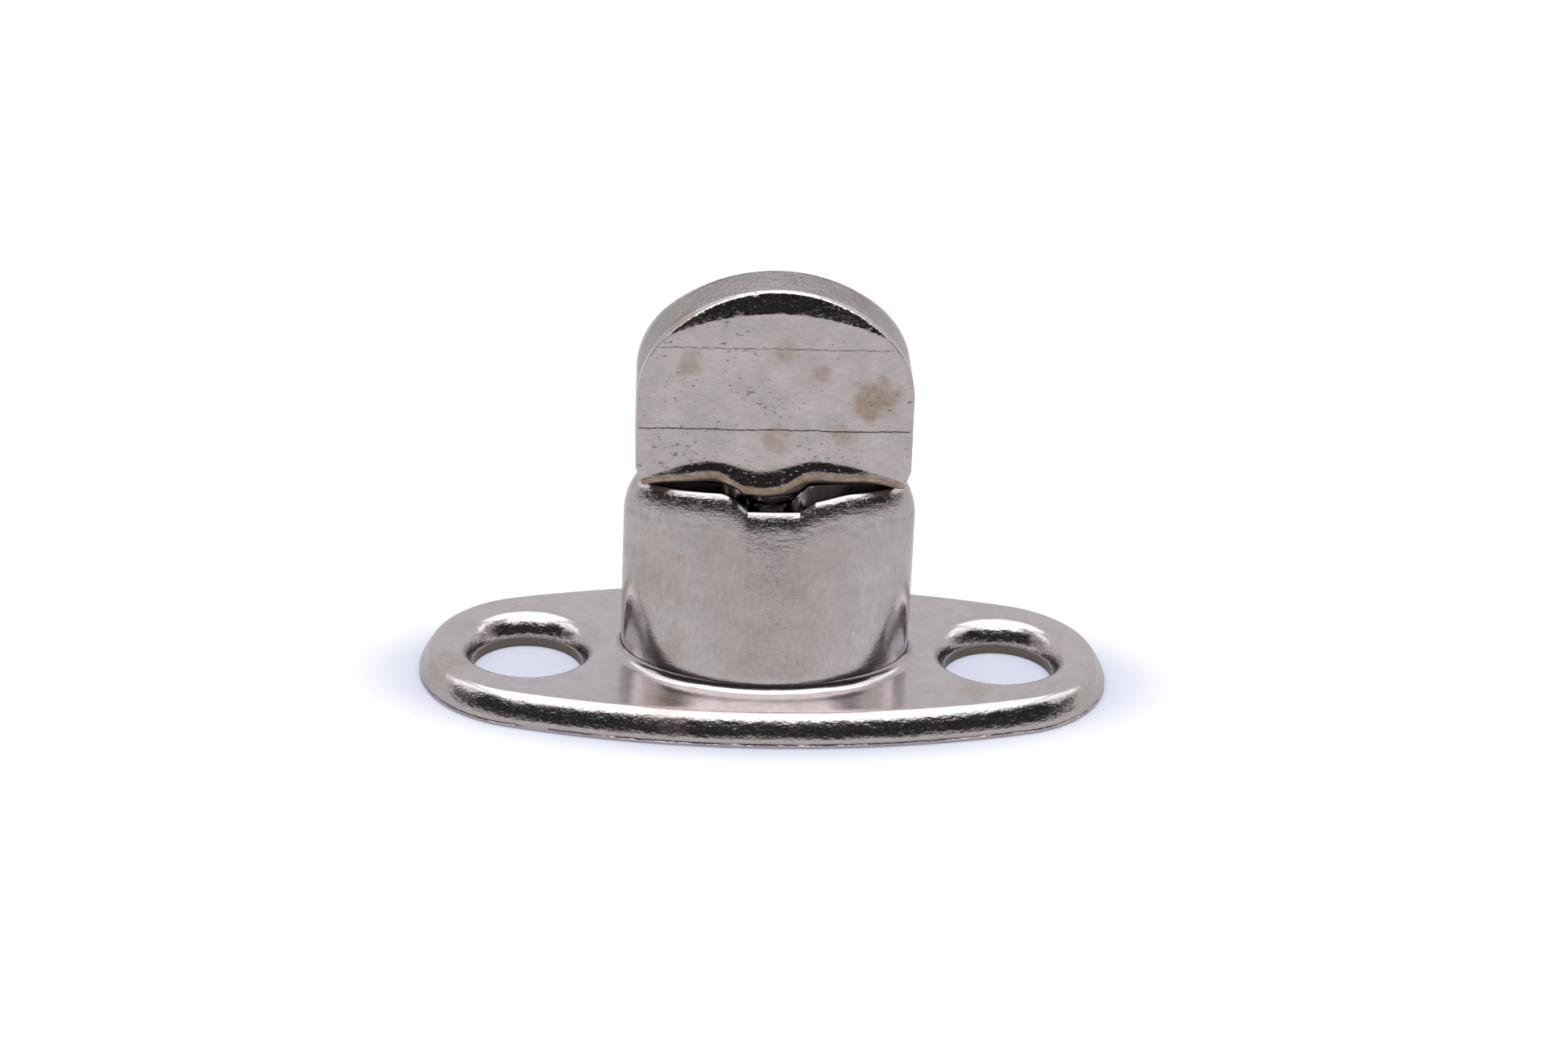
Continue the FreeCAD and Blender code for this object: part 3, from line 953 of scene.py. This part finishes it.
def build_spring(spring):
    """Coil spring with closed ends between the two washers, round the spindle."""
    low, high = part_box("spring")
    wire = spring.wire / 2
    coil = high.x - wire
    bottom = low.z + wire
    rise = high.z - wire - bottom
    turns = spring.turns
    around = 16
    steps_per_turn = 48
    along = int(turns * steps_per_turn)
    share_of = np.linspace(0, 1, along + 1)
    closed = 0.8 / turns
    climb = smoothstep(share_of, 0, closed) * smoothstep(1 - share_of, 0, closed)
    climb = 0.12 + 0.88 * climb
    height = np.concatenate([[0], np.cumsum((climb[1:] + climb[:-1]) / 2)])
    height = bottom + rise * height / height[-1]
    turn = share_of * turns * 2 * math.pi
    ring = full_turn(around)
    skin = Skin()
    loops = []
    for angle, z in zip(turn, height):
        reach = coil + wire * np.cos(ring)
        rise_round = z + wire * np.sin(ring)
        loops.append(np.column_stack([reach * math.cos(angle), reach * math.sin(angle), rise_round]))
    skin.rows(loops)
    count = len(skin.points)
    skin.faces.append(tuple(range(around)))
    skin.faces.append(tuple(range(count - around, count)))
    return skin.build("coil_spring", 40)


# ---------------------------------------------------------------- shader groups


class Graph:
    """Short calls for laying out nodes in one tree."""

    def __init__(self, tree):
        self.tree = tree

    def link(self, source, target):
        """Link between two sockets."""
        self.tree.links.new(source, target)

    def feed(self, socket, value):
        """Links a socket to another one, or gives it a plain value."""
        if isinstance(value, bpy.types.NodeSocket):
            self.link(value, socket)
        else:
            socket.default_value = value

    def node(self, kind, **values):
        """New node; values whose names are sockets set or link them, others set attributes."""
        made = self.tree.nodes.new(kind)
        sockets = values.pop("inputs", {})
        for name, value in values.items():
            setattr(made, name, value)
        for name, value in sockets.items():
            self.feed(made.inputs[name], value)
        return made

    def math(self, operation, first, second=0.0):
        """Arithmetic on two values."""
        return self.node("ShaderNodeMath", operation=operation, inputs={0: first, 1: second}).outputs[0]

    def times(self, first, second):
        """Product of two values."""
        return self.math("MULTIPLY", first, second)

    def plus(self, first, second):
        """Sum of two values."""
        return self.math("ADD", first, second)

    def minus(self, first, second):
        """Difference of two values."""
        return self.math("SUBTRACT", first, second)

    def parts(self, vector):
        """The three parts of a vector."""
        return self.node("ShaderNodeSeparateXYZ", inputs={0: vector}).outputs

    def noted(self, name):
        """Depth kept on the mesh under a name."""
        return self.node("ShaderNodeAttribute", attribute_name=name).outputs["Fac"]

    def ramp(self, value, low, high, to_low=0.0, to_high=1.0, kind="SMOOTHSTEP"):
        """Value mapped from one range to another."""
        sockets = {"Value": value, "From Min": low, "From Max": high, "To Min": to_low, "To Max": to_high}
        return self.node("ShaderNodeMapRange", interpolation_type=kind, inputs=sockets).outputs[0]

    def mix(self, factor, first, second, blend="MIX"):
        """Blend of two colours."""
        made = self.node("ShaderNodeMix", data_type="RGBA", blend_type=blend, inputs={0: factor})
        for socket, value in ((6, first), (7, second)):
            plain = not isinstance(value, bpy.types.NodeSocket)
            self.feed(made.inputs[socket], (*value, 1) if plain else value)
        return made.outputs[2]

    def scaled(self, vector, scale):
        """Vector multiplied along each axis."""
        sockets = {0: vector, 1: scale}
        return self.node("ShaderNodeVectorMath", operation="MULTIPLY", inputs=sockets).outputs[0]

    def noise(self, vector, scale, detail=2.0, rough=0.5):
        """Smooth noise from 0 to 1."""
        sockets = {"Vector": vector, "Scale": scale, "Detail": detail, "Roughness": rough}
        return self.node("ShaderNodeTexNoise", inputs=sockets).outputs[0]

    def cells(self, vector, scale, feature="F1"):
        """Distance inside the cells of a pattern."""
        sockets = {"Vector": vector, "Scale": scale}
        return self.node("ShaderNodeTexVoronoi", feature=feature, inputs=sockets).outputs["Distance"]


def new_group(name, output, values):
    """Empty shader group with a vector, named values and one output."""
    tree = bpy.data.node_groups.new(name, "ShaderNodeTree")
    tree.interface.new_socket("Vector", in_out="INPUT", socket_type="NodeSocketVector")
    for label, default in values.items():
        kind = "NodeSocketVector" if isinstance(default, tuple) else "NodeSocketFloat"
        socket = tree.interface.new_socket(label, in_out="INPUT", socket_type=kind)
        socket.default_value = default
    tree.interface.new_socket(output, in_out="OUTPUT", socket_type="NodeSocketFloat")
    given = tree.nodes.new("NodeGroupInput").outputs
    result = tree.nodes.new("NodeGroupOutput").inputs[output]
    return Graph(tree), given, result


def clean_graph(owner):
    """Emptied node tree of a material or a world."""
    owner.use_nodes = True
    owner.node_tree.nodes.clear()
    return Graph(owner.node_tree)


def peel_group():
    """Orange peel of bright plating: a rippled height with finer grain on it."""
    values = {"Cells per mm": 4.0, "Grain": 0.3, "Stretch": (1, 1, 1)}
    graph, given, result = new_group("Orange peel", "Height", values)
    place = graph.scaled(given["Vector"], given["Stretch"])
    broad = graph.noise(place, given["Cells per mm"], 2.0, 0.55)
    fine_scale = graph.times(given["Cells per mm"], 3.3)
    fine = graph.times(graph.noise(place, fine_scale, 2.0, 0.6), given["Grain"])
    graph.link(graph.plus(broad, fine), result)
    return graph.tree


def pits_group():
    """Short dark streaks and pits, scattered in patches."""
    values = {"Per mm": 3.0, "Amount": 0.5, "Stretch": (1, 1, 2.6)}
    graph, given, result = new_group("Pits and streaks", "Mask", values)
    place = graph.scaled(given["Vector"], given["Stretch"])
    speck = graph.noise(place, given["Per mm"], 3.0, 0.62)
    patch = graph.noise(given["Vector"], 0.45, 2.0, 0.5)
    limit = graph.minus(0.83, graph.times(given["Amount"], 0.2))
    limit = graph.minus(limit, graph.times(graph.minus(patch, 0.5), 0.3))
    over = graph.minus(speck, limit)
    graph.link(graph.ramp(over, 0.0, 0.035), result)
    return graph.tree


def stain_group():
    """One ragged stain: strongest in its middle, broken by mottling."""
    values = {"Centre": (0, 0, 0), "Radius": 1.0, "Ragged": 0.5}
    graph, given, result = new_group("Stain", "Mask", values)
    sockets = {0: given["Vector"], 1: given["Centre"]}
    away = graph.node("ShaderNodeVectorMath", operation="DISTANCE", inputs=sockets).outputs["Value"]
    edge = graph.minus(graph.noise(given["Vector"], 1.3, 3.0, 0.55), 0.5)
    edge = graph.times(edge, graph.times(given["Ragged"], 2.0))
    near = graph.math("DIVIDE", away, given["Radius"])
    near = graph.plus(near, edge)
    body = graph.ramp(near, 1.05, 0.35)
    mottle = graph.ramp(graph.noise(given["Vector"], 4.0, 3.0, 0.6), 0.3, 0.65, 0.6, 1.0)
    graph.link(graph.times(body, mottle), result)
    return graph.tree


def grain_group():
    """Soft mottling with short horizontal strokes, around a middle value of a half."""
    values = {"Stretch": (1, 1, 4)}
    graph, given, result = new_group("Mottled strokes", "Value", values)
    cloud = graph.noise(given["Vector"], 0.8, 3.0, 0.6)
    stroke = graph.noise(graph.scaled(given["Vector"], given["Stretch"]), 3.0, 3.0, 0.6)
    value = graph.plus(graph.times(cloud, 0.5), graph.times(stroke, 0.5))
    graph.link(graph.ramp(value, 0.3, 0.7, kind="LINEAR"), result)
    return graph.tree


def scratch_group():
    """Fine parallel scratches from polishing and handling."""
    values = {"Stretch": (9, 9, 0.35), "Amount": 0.5}
    graph, given, result = new_group("Scratches", "Mask", values)
    place = graph.scaled(given["Vector"], given["Stretch"])
    line = graph.noise(place, 1.0, 2.0, 0.6)
    patch = graph.ramp(graph.noise(given["Vector"], 0.6, 2.0, 0.5), 0.4, 0.65)
    cut = graph.ramp(line, 0.60, 0.68)
    mask = graph.times(cut, patch)
    graph.link(graph.times(mask, given["Amount"]), result)
    return graph.tree


GROUP_MAKERS = {
    "peel": peel_group,
    "pits": pits_group,
    "stain": stain_group,
    "grain": grain_group,
    "scratch": scratch_group,
}


class Finish:
    """One material being laid out: metal shader, millimetre coordinates and group calls."""

    groups = {}

    def __init__(self, name, metal, roughness):
        self.material = bpy.data.materials.new(name)
        self.graph = clean_graph(self.material)
        self.shader = self.graph.node("ShaderNodeBsdfPrincipled", inputs={"Metallic": 1.0})
        output = self.graph.node("ShaderNodeOutputMaterial")
        self.graph.link(self.shader.outputs[0], output.inputs[0])
        place = self.graph.node("ShaderNodeTexCoord").outputs["Object"]
        self.place = self.graph.scaled(place, (1 / MM, 1 / MM, 1 / MM))
        self.colour = self.graph.mix(0.0, metal, metal)
        self.roughness = roughness
        self.height = 0.0

    def use(self, name, **values):
        """Group placed in this material, fed with its values; gives its first output."""
        if name not in self.groups:
            self.groups[name] = GROUP_MAKERS[name]()
        made = self.graph.node("ShaderNodeGroup", node_tree=self.groups[name])
        self.graph.link(self.place, made.inputs["Vector"])
        for label, value in values.items():
            made.inputs[label.replace("_", " ")].default_value = value
        return made.outputs[0]

    def tint(self, mask, tone, strength=1.0):
        """Blend towards a tone where the mask is set."""
        self.colour = self.graph.mix(self.graph.times(mask, strength), self.colour, tone)

    def shade(self, value, low, high):
        """Multiply the colour by a grey that runs from low to high."""
        grey = self.graph.ramp(value, 0.0, 1.0, low, high, kind="LINEAR")
        even = self.graph.node("ShaderNodeCombineColor", inputs={0: grey, 1: grey, 2: grey}).outputs[0]
        self.colour = self.graph.mix(1.0, self.colour, even, blend="MULTIPLY")

    def dull(self, mask, amount):
        """Rougher where the mask is set."""
        self.roughness = self.graph.plus(self.roughness, self.graph.times(mask, amount))

    def raise_by(self, value, depth):
        """Adds relief, in millimetres."""
        self.height = self.graph.plus(self.height, self.graph.times(value, depth))

    def pitted(self, tone, strength, **values):
        """Pits filled with a tone; gives their mask."""
        pits = self.use("pits", **values)
        self.tint(pits, tone, strength)
        return pits

    def scratched(self, amount, **values):
        """Scratches that dull the metal; gives their mask."""
        scratch = self.use("scratch", **values)
        self.dull(scratch, amount)
        return scratch

    def stained(self, tone, strength, centre, radius, ragged):
        """One stain in a tone; gives its mask."""
        mask = self.use("stain", Centre=centre, Radius=radius, Ragged=ragged)
        self.tint(mask, tone, strength)
        return mask

    def rippled(self, depth, **values):
        """Orange peel all over."""
        self.raise_by(self.use("peel", **values), depth)

    def close(self):
        """Links the colour, roughness and relief to the shader."""
        graph = self.graph
        graph.link(self.colour, self.shader.inputs["Base Color"])
        graph.feed(self.shader.inputs["Roughness"], self.roughness)
        sockets = {"Height": self.height, "Distance": MM, "Strength": 1.0}
        bump = graph.node("ShaderNodeBump", inputs=sockets)
        graph.link(bump.outputs[0], self.shader.inputs["Normal"])
        return self.material


def tone(value):
    """Plain tuple of a colour property."""
    return tuple(value[:3])


def plate_finish(finish, plate):
    """Pressed sheet: bright flats, orange peel where the rim was drawn, faint tarnish, painted shade inside
    the screw holes and along the shear break.
    """
    made = Finish("Plated sheet", tone(finish.nickel), 0.17)
    graph = made.graph
    made.shade(made.use("grain", Stretch=(0.7, 1.0, 2.0)), 0.88, 1.08)
    parts = graph.parts(made.place)
    peel = made.use("peel", Cells_per_mm=3.2, Grain=0.35, Stretch=(0.7, 1.0, 1.2))
    flat_height = 1.46
    rim_height = 1.1
    drawn = graph.ramp(parts[2], flat_height, rim_height, 0.12, 1.0)
    made.raise_by(graph.times(peel, drawn), 0.022)
    made.rippled(0.02, Cells_per_mm=0.5, Grain=0.1, Stretch=(1.0, 1.0, 1.0))
    made.pitted(tone(finish.pit_dirt_and_shade), 0.6, Per_mm=3.4, Amount=0.25, Stretch=(1.0, 1.0, 1.6))
    made.scratched(0.12, Stretch=(1.2, 7.0, 7.0), Amount=0.5)
    # Painted shade: the lower part of each screw hole's wall is tinted dark brown, where shade falls inside
    # the hole.
    aside = graph.minus(graph.math("ABSOLUTE", parts[0]), hole_place(plate) / MM)
    away = graph.math("SQRT", graph.plus(graph.times(aside, aside), graph.times(parts[1], parts[1])))
    inside = graph.times(graph.ramp(away, 2.7, 2.58), graph.ramp(parts[2], 0.56, 0.4))
    made.tint(inside, tone(finish.shade), 0.85)
    # Painted shade: a ragged dark line, in patches, along the shear break about 0.21 mm up the plate's edge,
    # away from the screw holes, where shade falls in the crack.
    ragged = graph.times(graph.minus(graph.noise(made.place, 2.5, 3.0, 0.7), 0.5), 0.12)
    break_height = 0.21
    from_break = graph.math("ABSOLUTE", graph.minus(graph.plus(parts[2], ragged), break_height))
    patchy = graph.ramp(graph.noise(made.place, 0.45), 0.36, 0.44)
    broken = graph.times(graph.ramp(from_break, 0.045, 0.02), patchy)
    made.tint(graph.times(broken, graph.ramp(away, 2.8, 3.0)), tone(finish.pit_dirt_and_shade), 0.95)
    strength = 0.35
    for centre, radius in (((-4.6, -6.0, 1.2), 1.5), ((9.5, -3.9, 1.4), 1.0), ((-14.5, -2.0, 1.0), 1.4)):
        made.dull(made.stained(tone(finish.tarnish), strength, centre, radius, 0.7), 0.08)
    return made.close()


def post_finish(finish):
    """Drawn cup: fine vertical draw lines, orange peel below the rim, faint mottling, and a painted shade
    band on the wall.
    """
    made = Finish("Plated drawn sheet", tone(finish.nickel), 0.15)
    graph = made.graph
    made.shade(made.use("grain", Stretch=(2.0, 2.0, 0.6)), 0.82, 1.14)
    parts = graph.parts(made.place)
    peel = made.use("peel", Cells_per_mm=3.4, Grain=0.5, Stretch=(0.7, 1.0, 1.7))
    below_roof = graph.noted("below_roof")
    upper = graph.times(graph.ramp(below_roof, 2.2, 0.8, 0.2, 1.0), graph.ramp(below_roof, 0.04, 0.3))
    made.raise_by(graph.times(peel, upper), 0.02)
    # Painted shade: a patchy darker band round the wall between about 8.6 and 9.1 mm high, standing in for
    # the shade where the wall's lean changes.
    band_low = 8.6
    band_high = 9.1
    pressed = graph.times(graph.ramp(parts[2], band_low, 8.8), graph.ramp(parts[2], band_high, 8.9))
    patchy = graph.ramp(graph.noise(made.place, 0.9, 3.0, 0.6), 0.42, 0.6)
    made.shade(graph.times(pressed, patchy), 1.0, 0.86)
    made.rippled(0.015, Cells_per_mm=0.45, Grain=0.15, Stretch=(1.0, 1.0, 0.5))
    scratch = made.scratched(0.15, Stretch=(8.0, 8.0, 0.4), Amount=0.7)
    made.raise_by(scratch, -0.0012)
    made.pitted(tone(finish.pit_dirt_and_shade), 0.45, Per_mm=3.0, Amount=0.35, Stretch=(1.0, 1.0, 2.2))
    stains = (
        ((-5.4, -2.6, 6.5), 2.2),
        ((-2.4, -3.1, 8.4), 0.9),
        ((4.4, -3.0, 8.3), 1.1),
        ((-4.6, -3.4, 3.0), 1.2),
    )
    for centre, radius in stains:
        made.stained(tone(finish.tarnish), 0.3, centre, radius, 0.9)
    return made.close()


def head_finish(finish):
    """Cast head: streaked facets, hammered crown, brown stains, painted shade on the crown band and under the
    lips, and a painted reflection below the lips.
    """
    made = Finish("Plated casting", tone(finish.casting), 0.14)
    graph = made.graph
    made.shade(made.use("grain", Stretch=(0.8, 1.0, 4.0)), 0.8, 1.16)
    parts = graph.parts(made.place)
    made.rippled(0.011, Cells_per_mm=3.0, Grain=0.6, Stretch=(0.8, 1.0, 1.8))
    depth = graph.math("ABSOLUTE", parts[1])
    crown = graph.ramp(depth, 1.22, 1.0)
    crown = graph.times(crown, graph.ramp(parts[2], 12.5, 14.0))
    hammer = made.use("peel", Cells_per_mm=3.6, Grain=0.9, Stretch=(1.0, 1.0, 1.0))
    made.raise_by(graph.times(hammer, crown), 0.1)
    pits = made.pitted(tone(finish.pit_dirt_and_shade), 0.6, Per_mm=3.2, Amount=0.85, Stretch=(1.0, 1.0, 2.0))
    made.raise_by(pits, -0.006)
    stains = (
        ((4.35, -1.75, 15.1), 1.25, 0.75),
        ((1.9, -1.7, 16.2), 0.55, 0.5),
        ((-3.9, -1.7, 16.6), 0.75, 0.5),
        ((0.5, -1.65, 17.3), 0.8, 0.35),
        ((0.0, -1.9, 13.1), 0.9, 0.45),
        ((3.2, -1.9, 13.3), 0.7, 0.45),
        ((-4.2, -1.2, 18.6), 0.9, 0.5),
        ((3.6, 0.4, 18.9), 1.0, 0.4),
        ((-2.6, 1.75, 15.8), 1.3, 0.6),
        ((2.2, 1.8, 14.4), 0.9, 0.5),
    )
    for centre, radius, strength in stains:
        made.dull(made.stained(tone(finish.tarnish), strength, centre, radius, 0.8), 0.12 * strength)
    made.scratched(0.12, Stretch=(1.0, 6.0, 8.0), Amount=0.5)
    # Painted reflection: a mottled yellow-brown band from just above each lip down its underside, standing in
    # for warm light reflected up from the post's top.
    below_lip = graph.noted("below_lip")
    patchy = graph.noise(made.place, 1.6, 3.0, 0.6)
    edge = graph.plus(below_lip, graph.times(graph.minus(patchy, 0.5), 0.3))
    gold_mottle = graph.ramp(graph.noise(made.place, 2.6, 4.0, 0.7), 0.3, 0.65, 0.6, 1.0)
    made.tint(graph.times(graph.ramp(edge, -0.1, 0.02), gold_mottle), tone(finish.gold_reflection), 0.95)
    # Painted shade: from about 0.2 to 0.5 mm below the lip the underside turns nearly black, where shade
    # falls in the gap over the post.
    made.tint(graph.ramp(edge, 0.2, 0.5), tone(finish.pit_dirt_and_shade), 0.9)
    # Painted shade: the crown band is darkened to about two thirds, to hold back the overhead light that
    # falls on it.
    made.shade(crown, 1.0, 0.66)
    return made.close()


def pin_finish(finish):
    """Turned pin and washers: fine turning rings and light wear."""
    made = Finish("Plated pin", tone(finish.nickel), 0.16)
    rings = made.use("scratch", Stretch=(0.5, 0.5, 14.0), Amount=0.8)
    made.raise_by(rings, 0.002)
    made.dull(rings, 0.1)
    made.rippled(0.006, Cells_per_mm=4.5, Grain=0.4, Stretch=(1.0, 1.0, 1.0))
    made.pitted(tone(finish.pit_dirt_and_shade), 0.5, Per_mm=4.0, Amount=0.3, Stretch=(1.0, 1.0, 1.0))
    return made.close()


def wire_finish(finish):
    """Drawn spring wire: darker steel with an oily, scratched skin."""
    made = Finish("Spring wire", tone(finish.steel), 0.28)
    made.rippled(0.005, Cells_per_mm=6.0, Grain=0.5, Stretch=(1.0, 1.0, 1.0))
    made.scratched(0.15, Stretch=(3.0, 3.0, 12.0), Amount=0.7)
    made.pitted(tone(finish.tarnish), 0.4, Per_mm=5.0, Amount=0.4, Stretch=(1.0, 1.0, 1.0))
    return made.close()


def dress(piece, material):
    """Gives a piece its one material."""
    piece.data.materials.clear()
    piece.data.materials.append(material)


# ---------------------------------------------------------------- operators


class OBJECT_OT_fastener_plate(bpy.types.Operator):
    """Build the base plate's skin"""

    bl_idname = "object.fastener_plate"
    bl_label = "Base plate"

    def execute(self, context):
        scene = context.scene
        piece = build_plate(scene.fastener_plate, scene.fastener_post)
        dress(piece, plate_finish(scene.fastener_finish, scene.fastener_plate))
        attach(piece, "base")
        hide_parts("base_plate")
        return {"FINISHED"}


class OBJECT_OT_fastener_post(bpy.types.Operator):
    """Build the drawn post's skin"""

    bl_idname = "object.fastener_post"
    bl_label = "Post"

    def execute(self, context):
        scene = context.scene
        piece = build_post(scene.fastener_post, scene.fastener_plate)
        dress(piece, post_finish(scene.fastener_finish))
        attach(piece, "base")
        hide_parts("post_shell")
        return {"FINISHED"}


class OBJECT_OT_fastener_head(bpy.types.Operator):
    """Build the half-round head's skin"""

    bl_idname = "object.fastener_head"
    bl_label = "Head"

    def execute(self, context):
        scene = context.scene
        piece = build_head(scene.fastener_head)
        dress(piece, head_finish(scene.fastener_finish))
        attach(piece, "button")
        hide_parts("turn_head")
        return {"FINISHED"}


class OBJECT_OT_fastener_inner(bpy.types.Operator):
    """Finish the spindle, the washers and the spring"""

    bl_idname = "object.fastener_inner"
    bl_label = "Spindle, washers and spring"

    def execute(self, context):
        finish = context.scene.fastener_finish
        pin = pin_finish(finish)
        for name in ("spindle", "upper_washer", "retaining_washer"):
            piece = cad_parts[name]
            dress(piece, pin)
            piece.data.shade_smooth()
            piece.data.set_sharp_from_angle(angle=math.radians(35))
        settings = context.scene.fastener_spring
        spring = build_spring(settings)
        dress(spring, wire_finish(finish))
        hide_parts("spring")
        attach(spring, "base")
        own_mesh(spring)
        return {"FINISHED"}


class OBJECT_OT_fastener_stage(bpy.types.Operator):
    """Set the floor, the light and the camera"""

    bl_idname = "object.fastener_stage"
    bl_label = "Stage"

    def execute(self, context):
        stage = context.scene.fastener_stage
        build_floor(stage)
        build_world(context.scene)
        build_lamps()
        build_camera(stage)
        context.scene.view_settings.view_transform = "Standard"
        return {"FINISHED"}


# ---------------------------------------------------------------- stage


def build_floor(stage):
    """Plain pale floor, a large quad lit like the part, with a little glow of its own that turns dim and
    bluish under and close round the part as a painted shadow.
    """
    reach = 3.0
    mesh = bpy.data.meshes.new("floor")
    corners = [(-reach, -reach), (reach, -reach), (reach, reach), (-reach, reach)]
    mesh.from_pydata([(x, y, cad_low.z) for x, y in corners], [], [(0, 1, 2, 3)])
    floor = new_object("floor", mesh)
    material = bpy.data.materials.new("Floor")
    graph = clean_graph(material)
    matt = graph.node("ShaderNodeBsdfDiffuse", inputs={"Color": (*tone(stage.floor), 1)})
    mirror_share = 0.36
    far_glow = (0.62, 0.62, 0.62)
    rays = graph.node("ShaderNodeLightPath").outputs
    mirrored = graph.math("MAXIMUM", rays["Is Glossy Ray"], rays["Is Transmission Ray"])
    strength = graph.plus(rays["Is Camera Ray"], graph.times(mirrored, mirror_share))
    # Painted shadow: inside the plate's scaled outline the floor's glow fades to the dim bluish shadow
    # colour, also where it is seen through the screw holes.
    place = graph.node("ShaderNodeNewGeometry").outputs["Position"]
    place = graph.scaled(place, (1 / cad_high.x, 1 / cad_high.y, 0))
    away = graph.node("ShaderNodeVectorMath", operation="LENGTH", inputs={0: place}).outputs["Value"]
    far = graph.ramp(away, 0.95, 1.35)
    glow_colour = graph.mix(far, tone(stage.shadow_glow), far_glow)
    glow = graph.node("ShaderNodeEmission", inputs={"Color": glow_colour, "Strength": strength})
    both = graph.node("ShaderNodeAddShader", inputs={0: matt.outputs[0], 1: glow.outputs[0]})
    graph.node("ShaderNodeOutputMaterial", inputs={0: both.outputs[0]})
    mesh.materials.append(material)


def build_world(scene):
    """Pale surroundings with one dark card in front, which only lighting and reflections see."""
    world = bpy.data.worlds.new("Studio")
    scene.world = world
    graph = clean_graph(world)
    direction = graph.node("ShaderNodeTexCoord").outputs["Generated"]
    parts = graph.parts(direction)
    forward = graph.times(parts[1], -1.0)
    card_low = (0.16, 0.23)
    card_high = (0.76, 0.64)
    card_tone = (0.012, 0.012, 0.014)
    low_room = (0.70, 0.665, 0.65)
    high_room = (0.76, 0.77, 0.80)
    diffuse_share = 0.35
    above = graph.ramp(parts[2], *card_low)
    below = graph.ramp(parts[2], *card_high)
    ahead = graph.ramp(forward, -0.2, 0.1)
    card = graph.times(graph.times(above, below), ahead)
    rays = graph.node("ShaderNodeLightPath").outputs
    unseen = graph.minus(1.0, rays["Is Camera Ray"])
    room = graph.mix(graph.ramp(parts[2], 0.05, 0.3), low_room, high_room)
    room = graph.mix(card, room, card_tone)
    tone_mix = graph.mix(unseen, (1.0, 1.0, 1.0), room)
    strength = graph.ramp(rays["Is Diffuse Ray"], 0.0, 1.0, 1.0, diffuse_share)
    back = graph.node("ShaderNodeBackground", inputs={"Color": tone_mix, "Strength": strength})
    graph.node("ShaderNodeOutputWorld", inputs={0: back.outputs[0]})


def build_lamps():
    """Broad overhead panel, slightly in front, and two weak side panels."""
    panels = (
        ("overhead", (0.0, -0.07, 0.42), 0.5, 0.6, 1.45),
        ("left", (-0.4, 0.0, 0.34), 0.3, 0.3, 0.3),
        ("right", (0.4, 0.0, 0.34), 0.3, 0.3, 0.3),
    )
    target = Vector((0, 0, 0.01))
    for name, place, width, height, power in panels:
        data = bpy.data.lights.new(name, "AREA")
        data.shape = "RECTANGLE"
        data.size = width
        data.size_y = height
        data.energy = power
        lamp = new_object(name, data)
        lamp.location = place
        lamp.rotation_euler = (Vector(place) - target).to_track_quat("Z", "Y").to_euler()
        lamp.visible_camera = False


def build_camera(stage):
    """Long lens from above the front, rolled a little."""
    data = bpy.data.cameras.new("camera")
    data.lens = 100
    data.sensor_width = 36
    data.clip_start = 0.01
    camera = new_object("camera", data)
    elevation, azimuth = stage.elevation, stage.azimuth
    back = Vector((
        math.sin(azimuth) * math.cos(elevation),
        -math.cos(azimuth) * math.cos(elevation),
        math.sin(elevation),
    ))
    target = Vector((0.686 * MM, 0, 7.963 * MM))
    right = (-back).cross(Vector((0, 0, 1))).normalized()
    up = right.cross(-back)
    turn = Matrix.Rotation(stage.roll, 3, back)
    right = turn @ right
    up = turn @ up
    facing = Matrix((right, up, back)).transposed()
    camera.matrix_world = Matrix.Translation(target + back * stage.distance) @ facing.to_4x4()
    bpy.context.scene.camera = camera


# ---------------------------------------------------------------- panel and registration

STEPS = (
    OBJECT_OT_fastener_plate,
    OBJECT_OT_fastener_post,
    OBJECT_OT_fastener_head,
    OBJECT_OT_fastener_inner,
    OBJECT_OT_fastener_stage,
)


class VIEW3D_PT_fastener(bpy.types.Panel):
    """Sidebar panel that lists the steps"""

    bl_label = "Turn-button fastener"
    bl_idname = "VIEW3D_PT_fastener"
    bl_space_type = "VIEW_3D"
    bl_region_type = "UI"
    bl_category = "Fastener"

    def draw(self, context):
        for step in STEPS:
            self.layout.operator(step.bl_idname)


SETTINGS = {
    "fastener_plate": PlateSettings,
    "fastener_spring": SpringSettings,
    "fastener_post": PostSettings,
    "fastener_head": HeadSettings,
    "fastener_finish": FinishSettings,
    "fastener_stage": StageSettings,
}


def register():
    """Registers the settings, the operators and the panel."""
    for name, settings in SETTINGS.items():
        bpy.utils.register_class(settings)
        setattr(bpy.types.Scene, name, bpy.props.PointerProperty(type=settings))
    for step in STEPS:
        bpy.utils.register_class(step)
    bpy.utils.register_class(VIEW3D_PT_fastener)


def unregister():
    """Removes all that register added."""
    bpy.utils.unregister_class(VIEW3D_PT_fastener)
    for step in reversed(STEPS):
        bpy.utils.unregister_class(step)
    for name, settings in SETTINGS.items():
        delattr(bpy.types.Scene, name)
        bpy.utils.unregister_class(settings)


def main():
    """Builds every piece and the stage."""
    register()
    bpy.ops.object.fastener_plate()
    bpy.ops.object.fastener_post()
    bpy.ops.object.fastener_head()
    bpy.ops.object.fastener_inner()
    bpy.ops.object.fastener_stage()


if __name__ == "__main__":
    main()
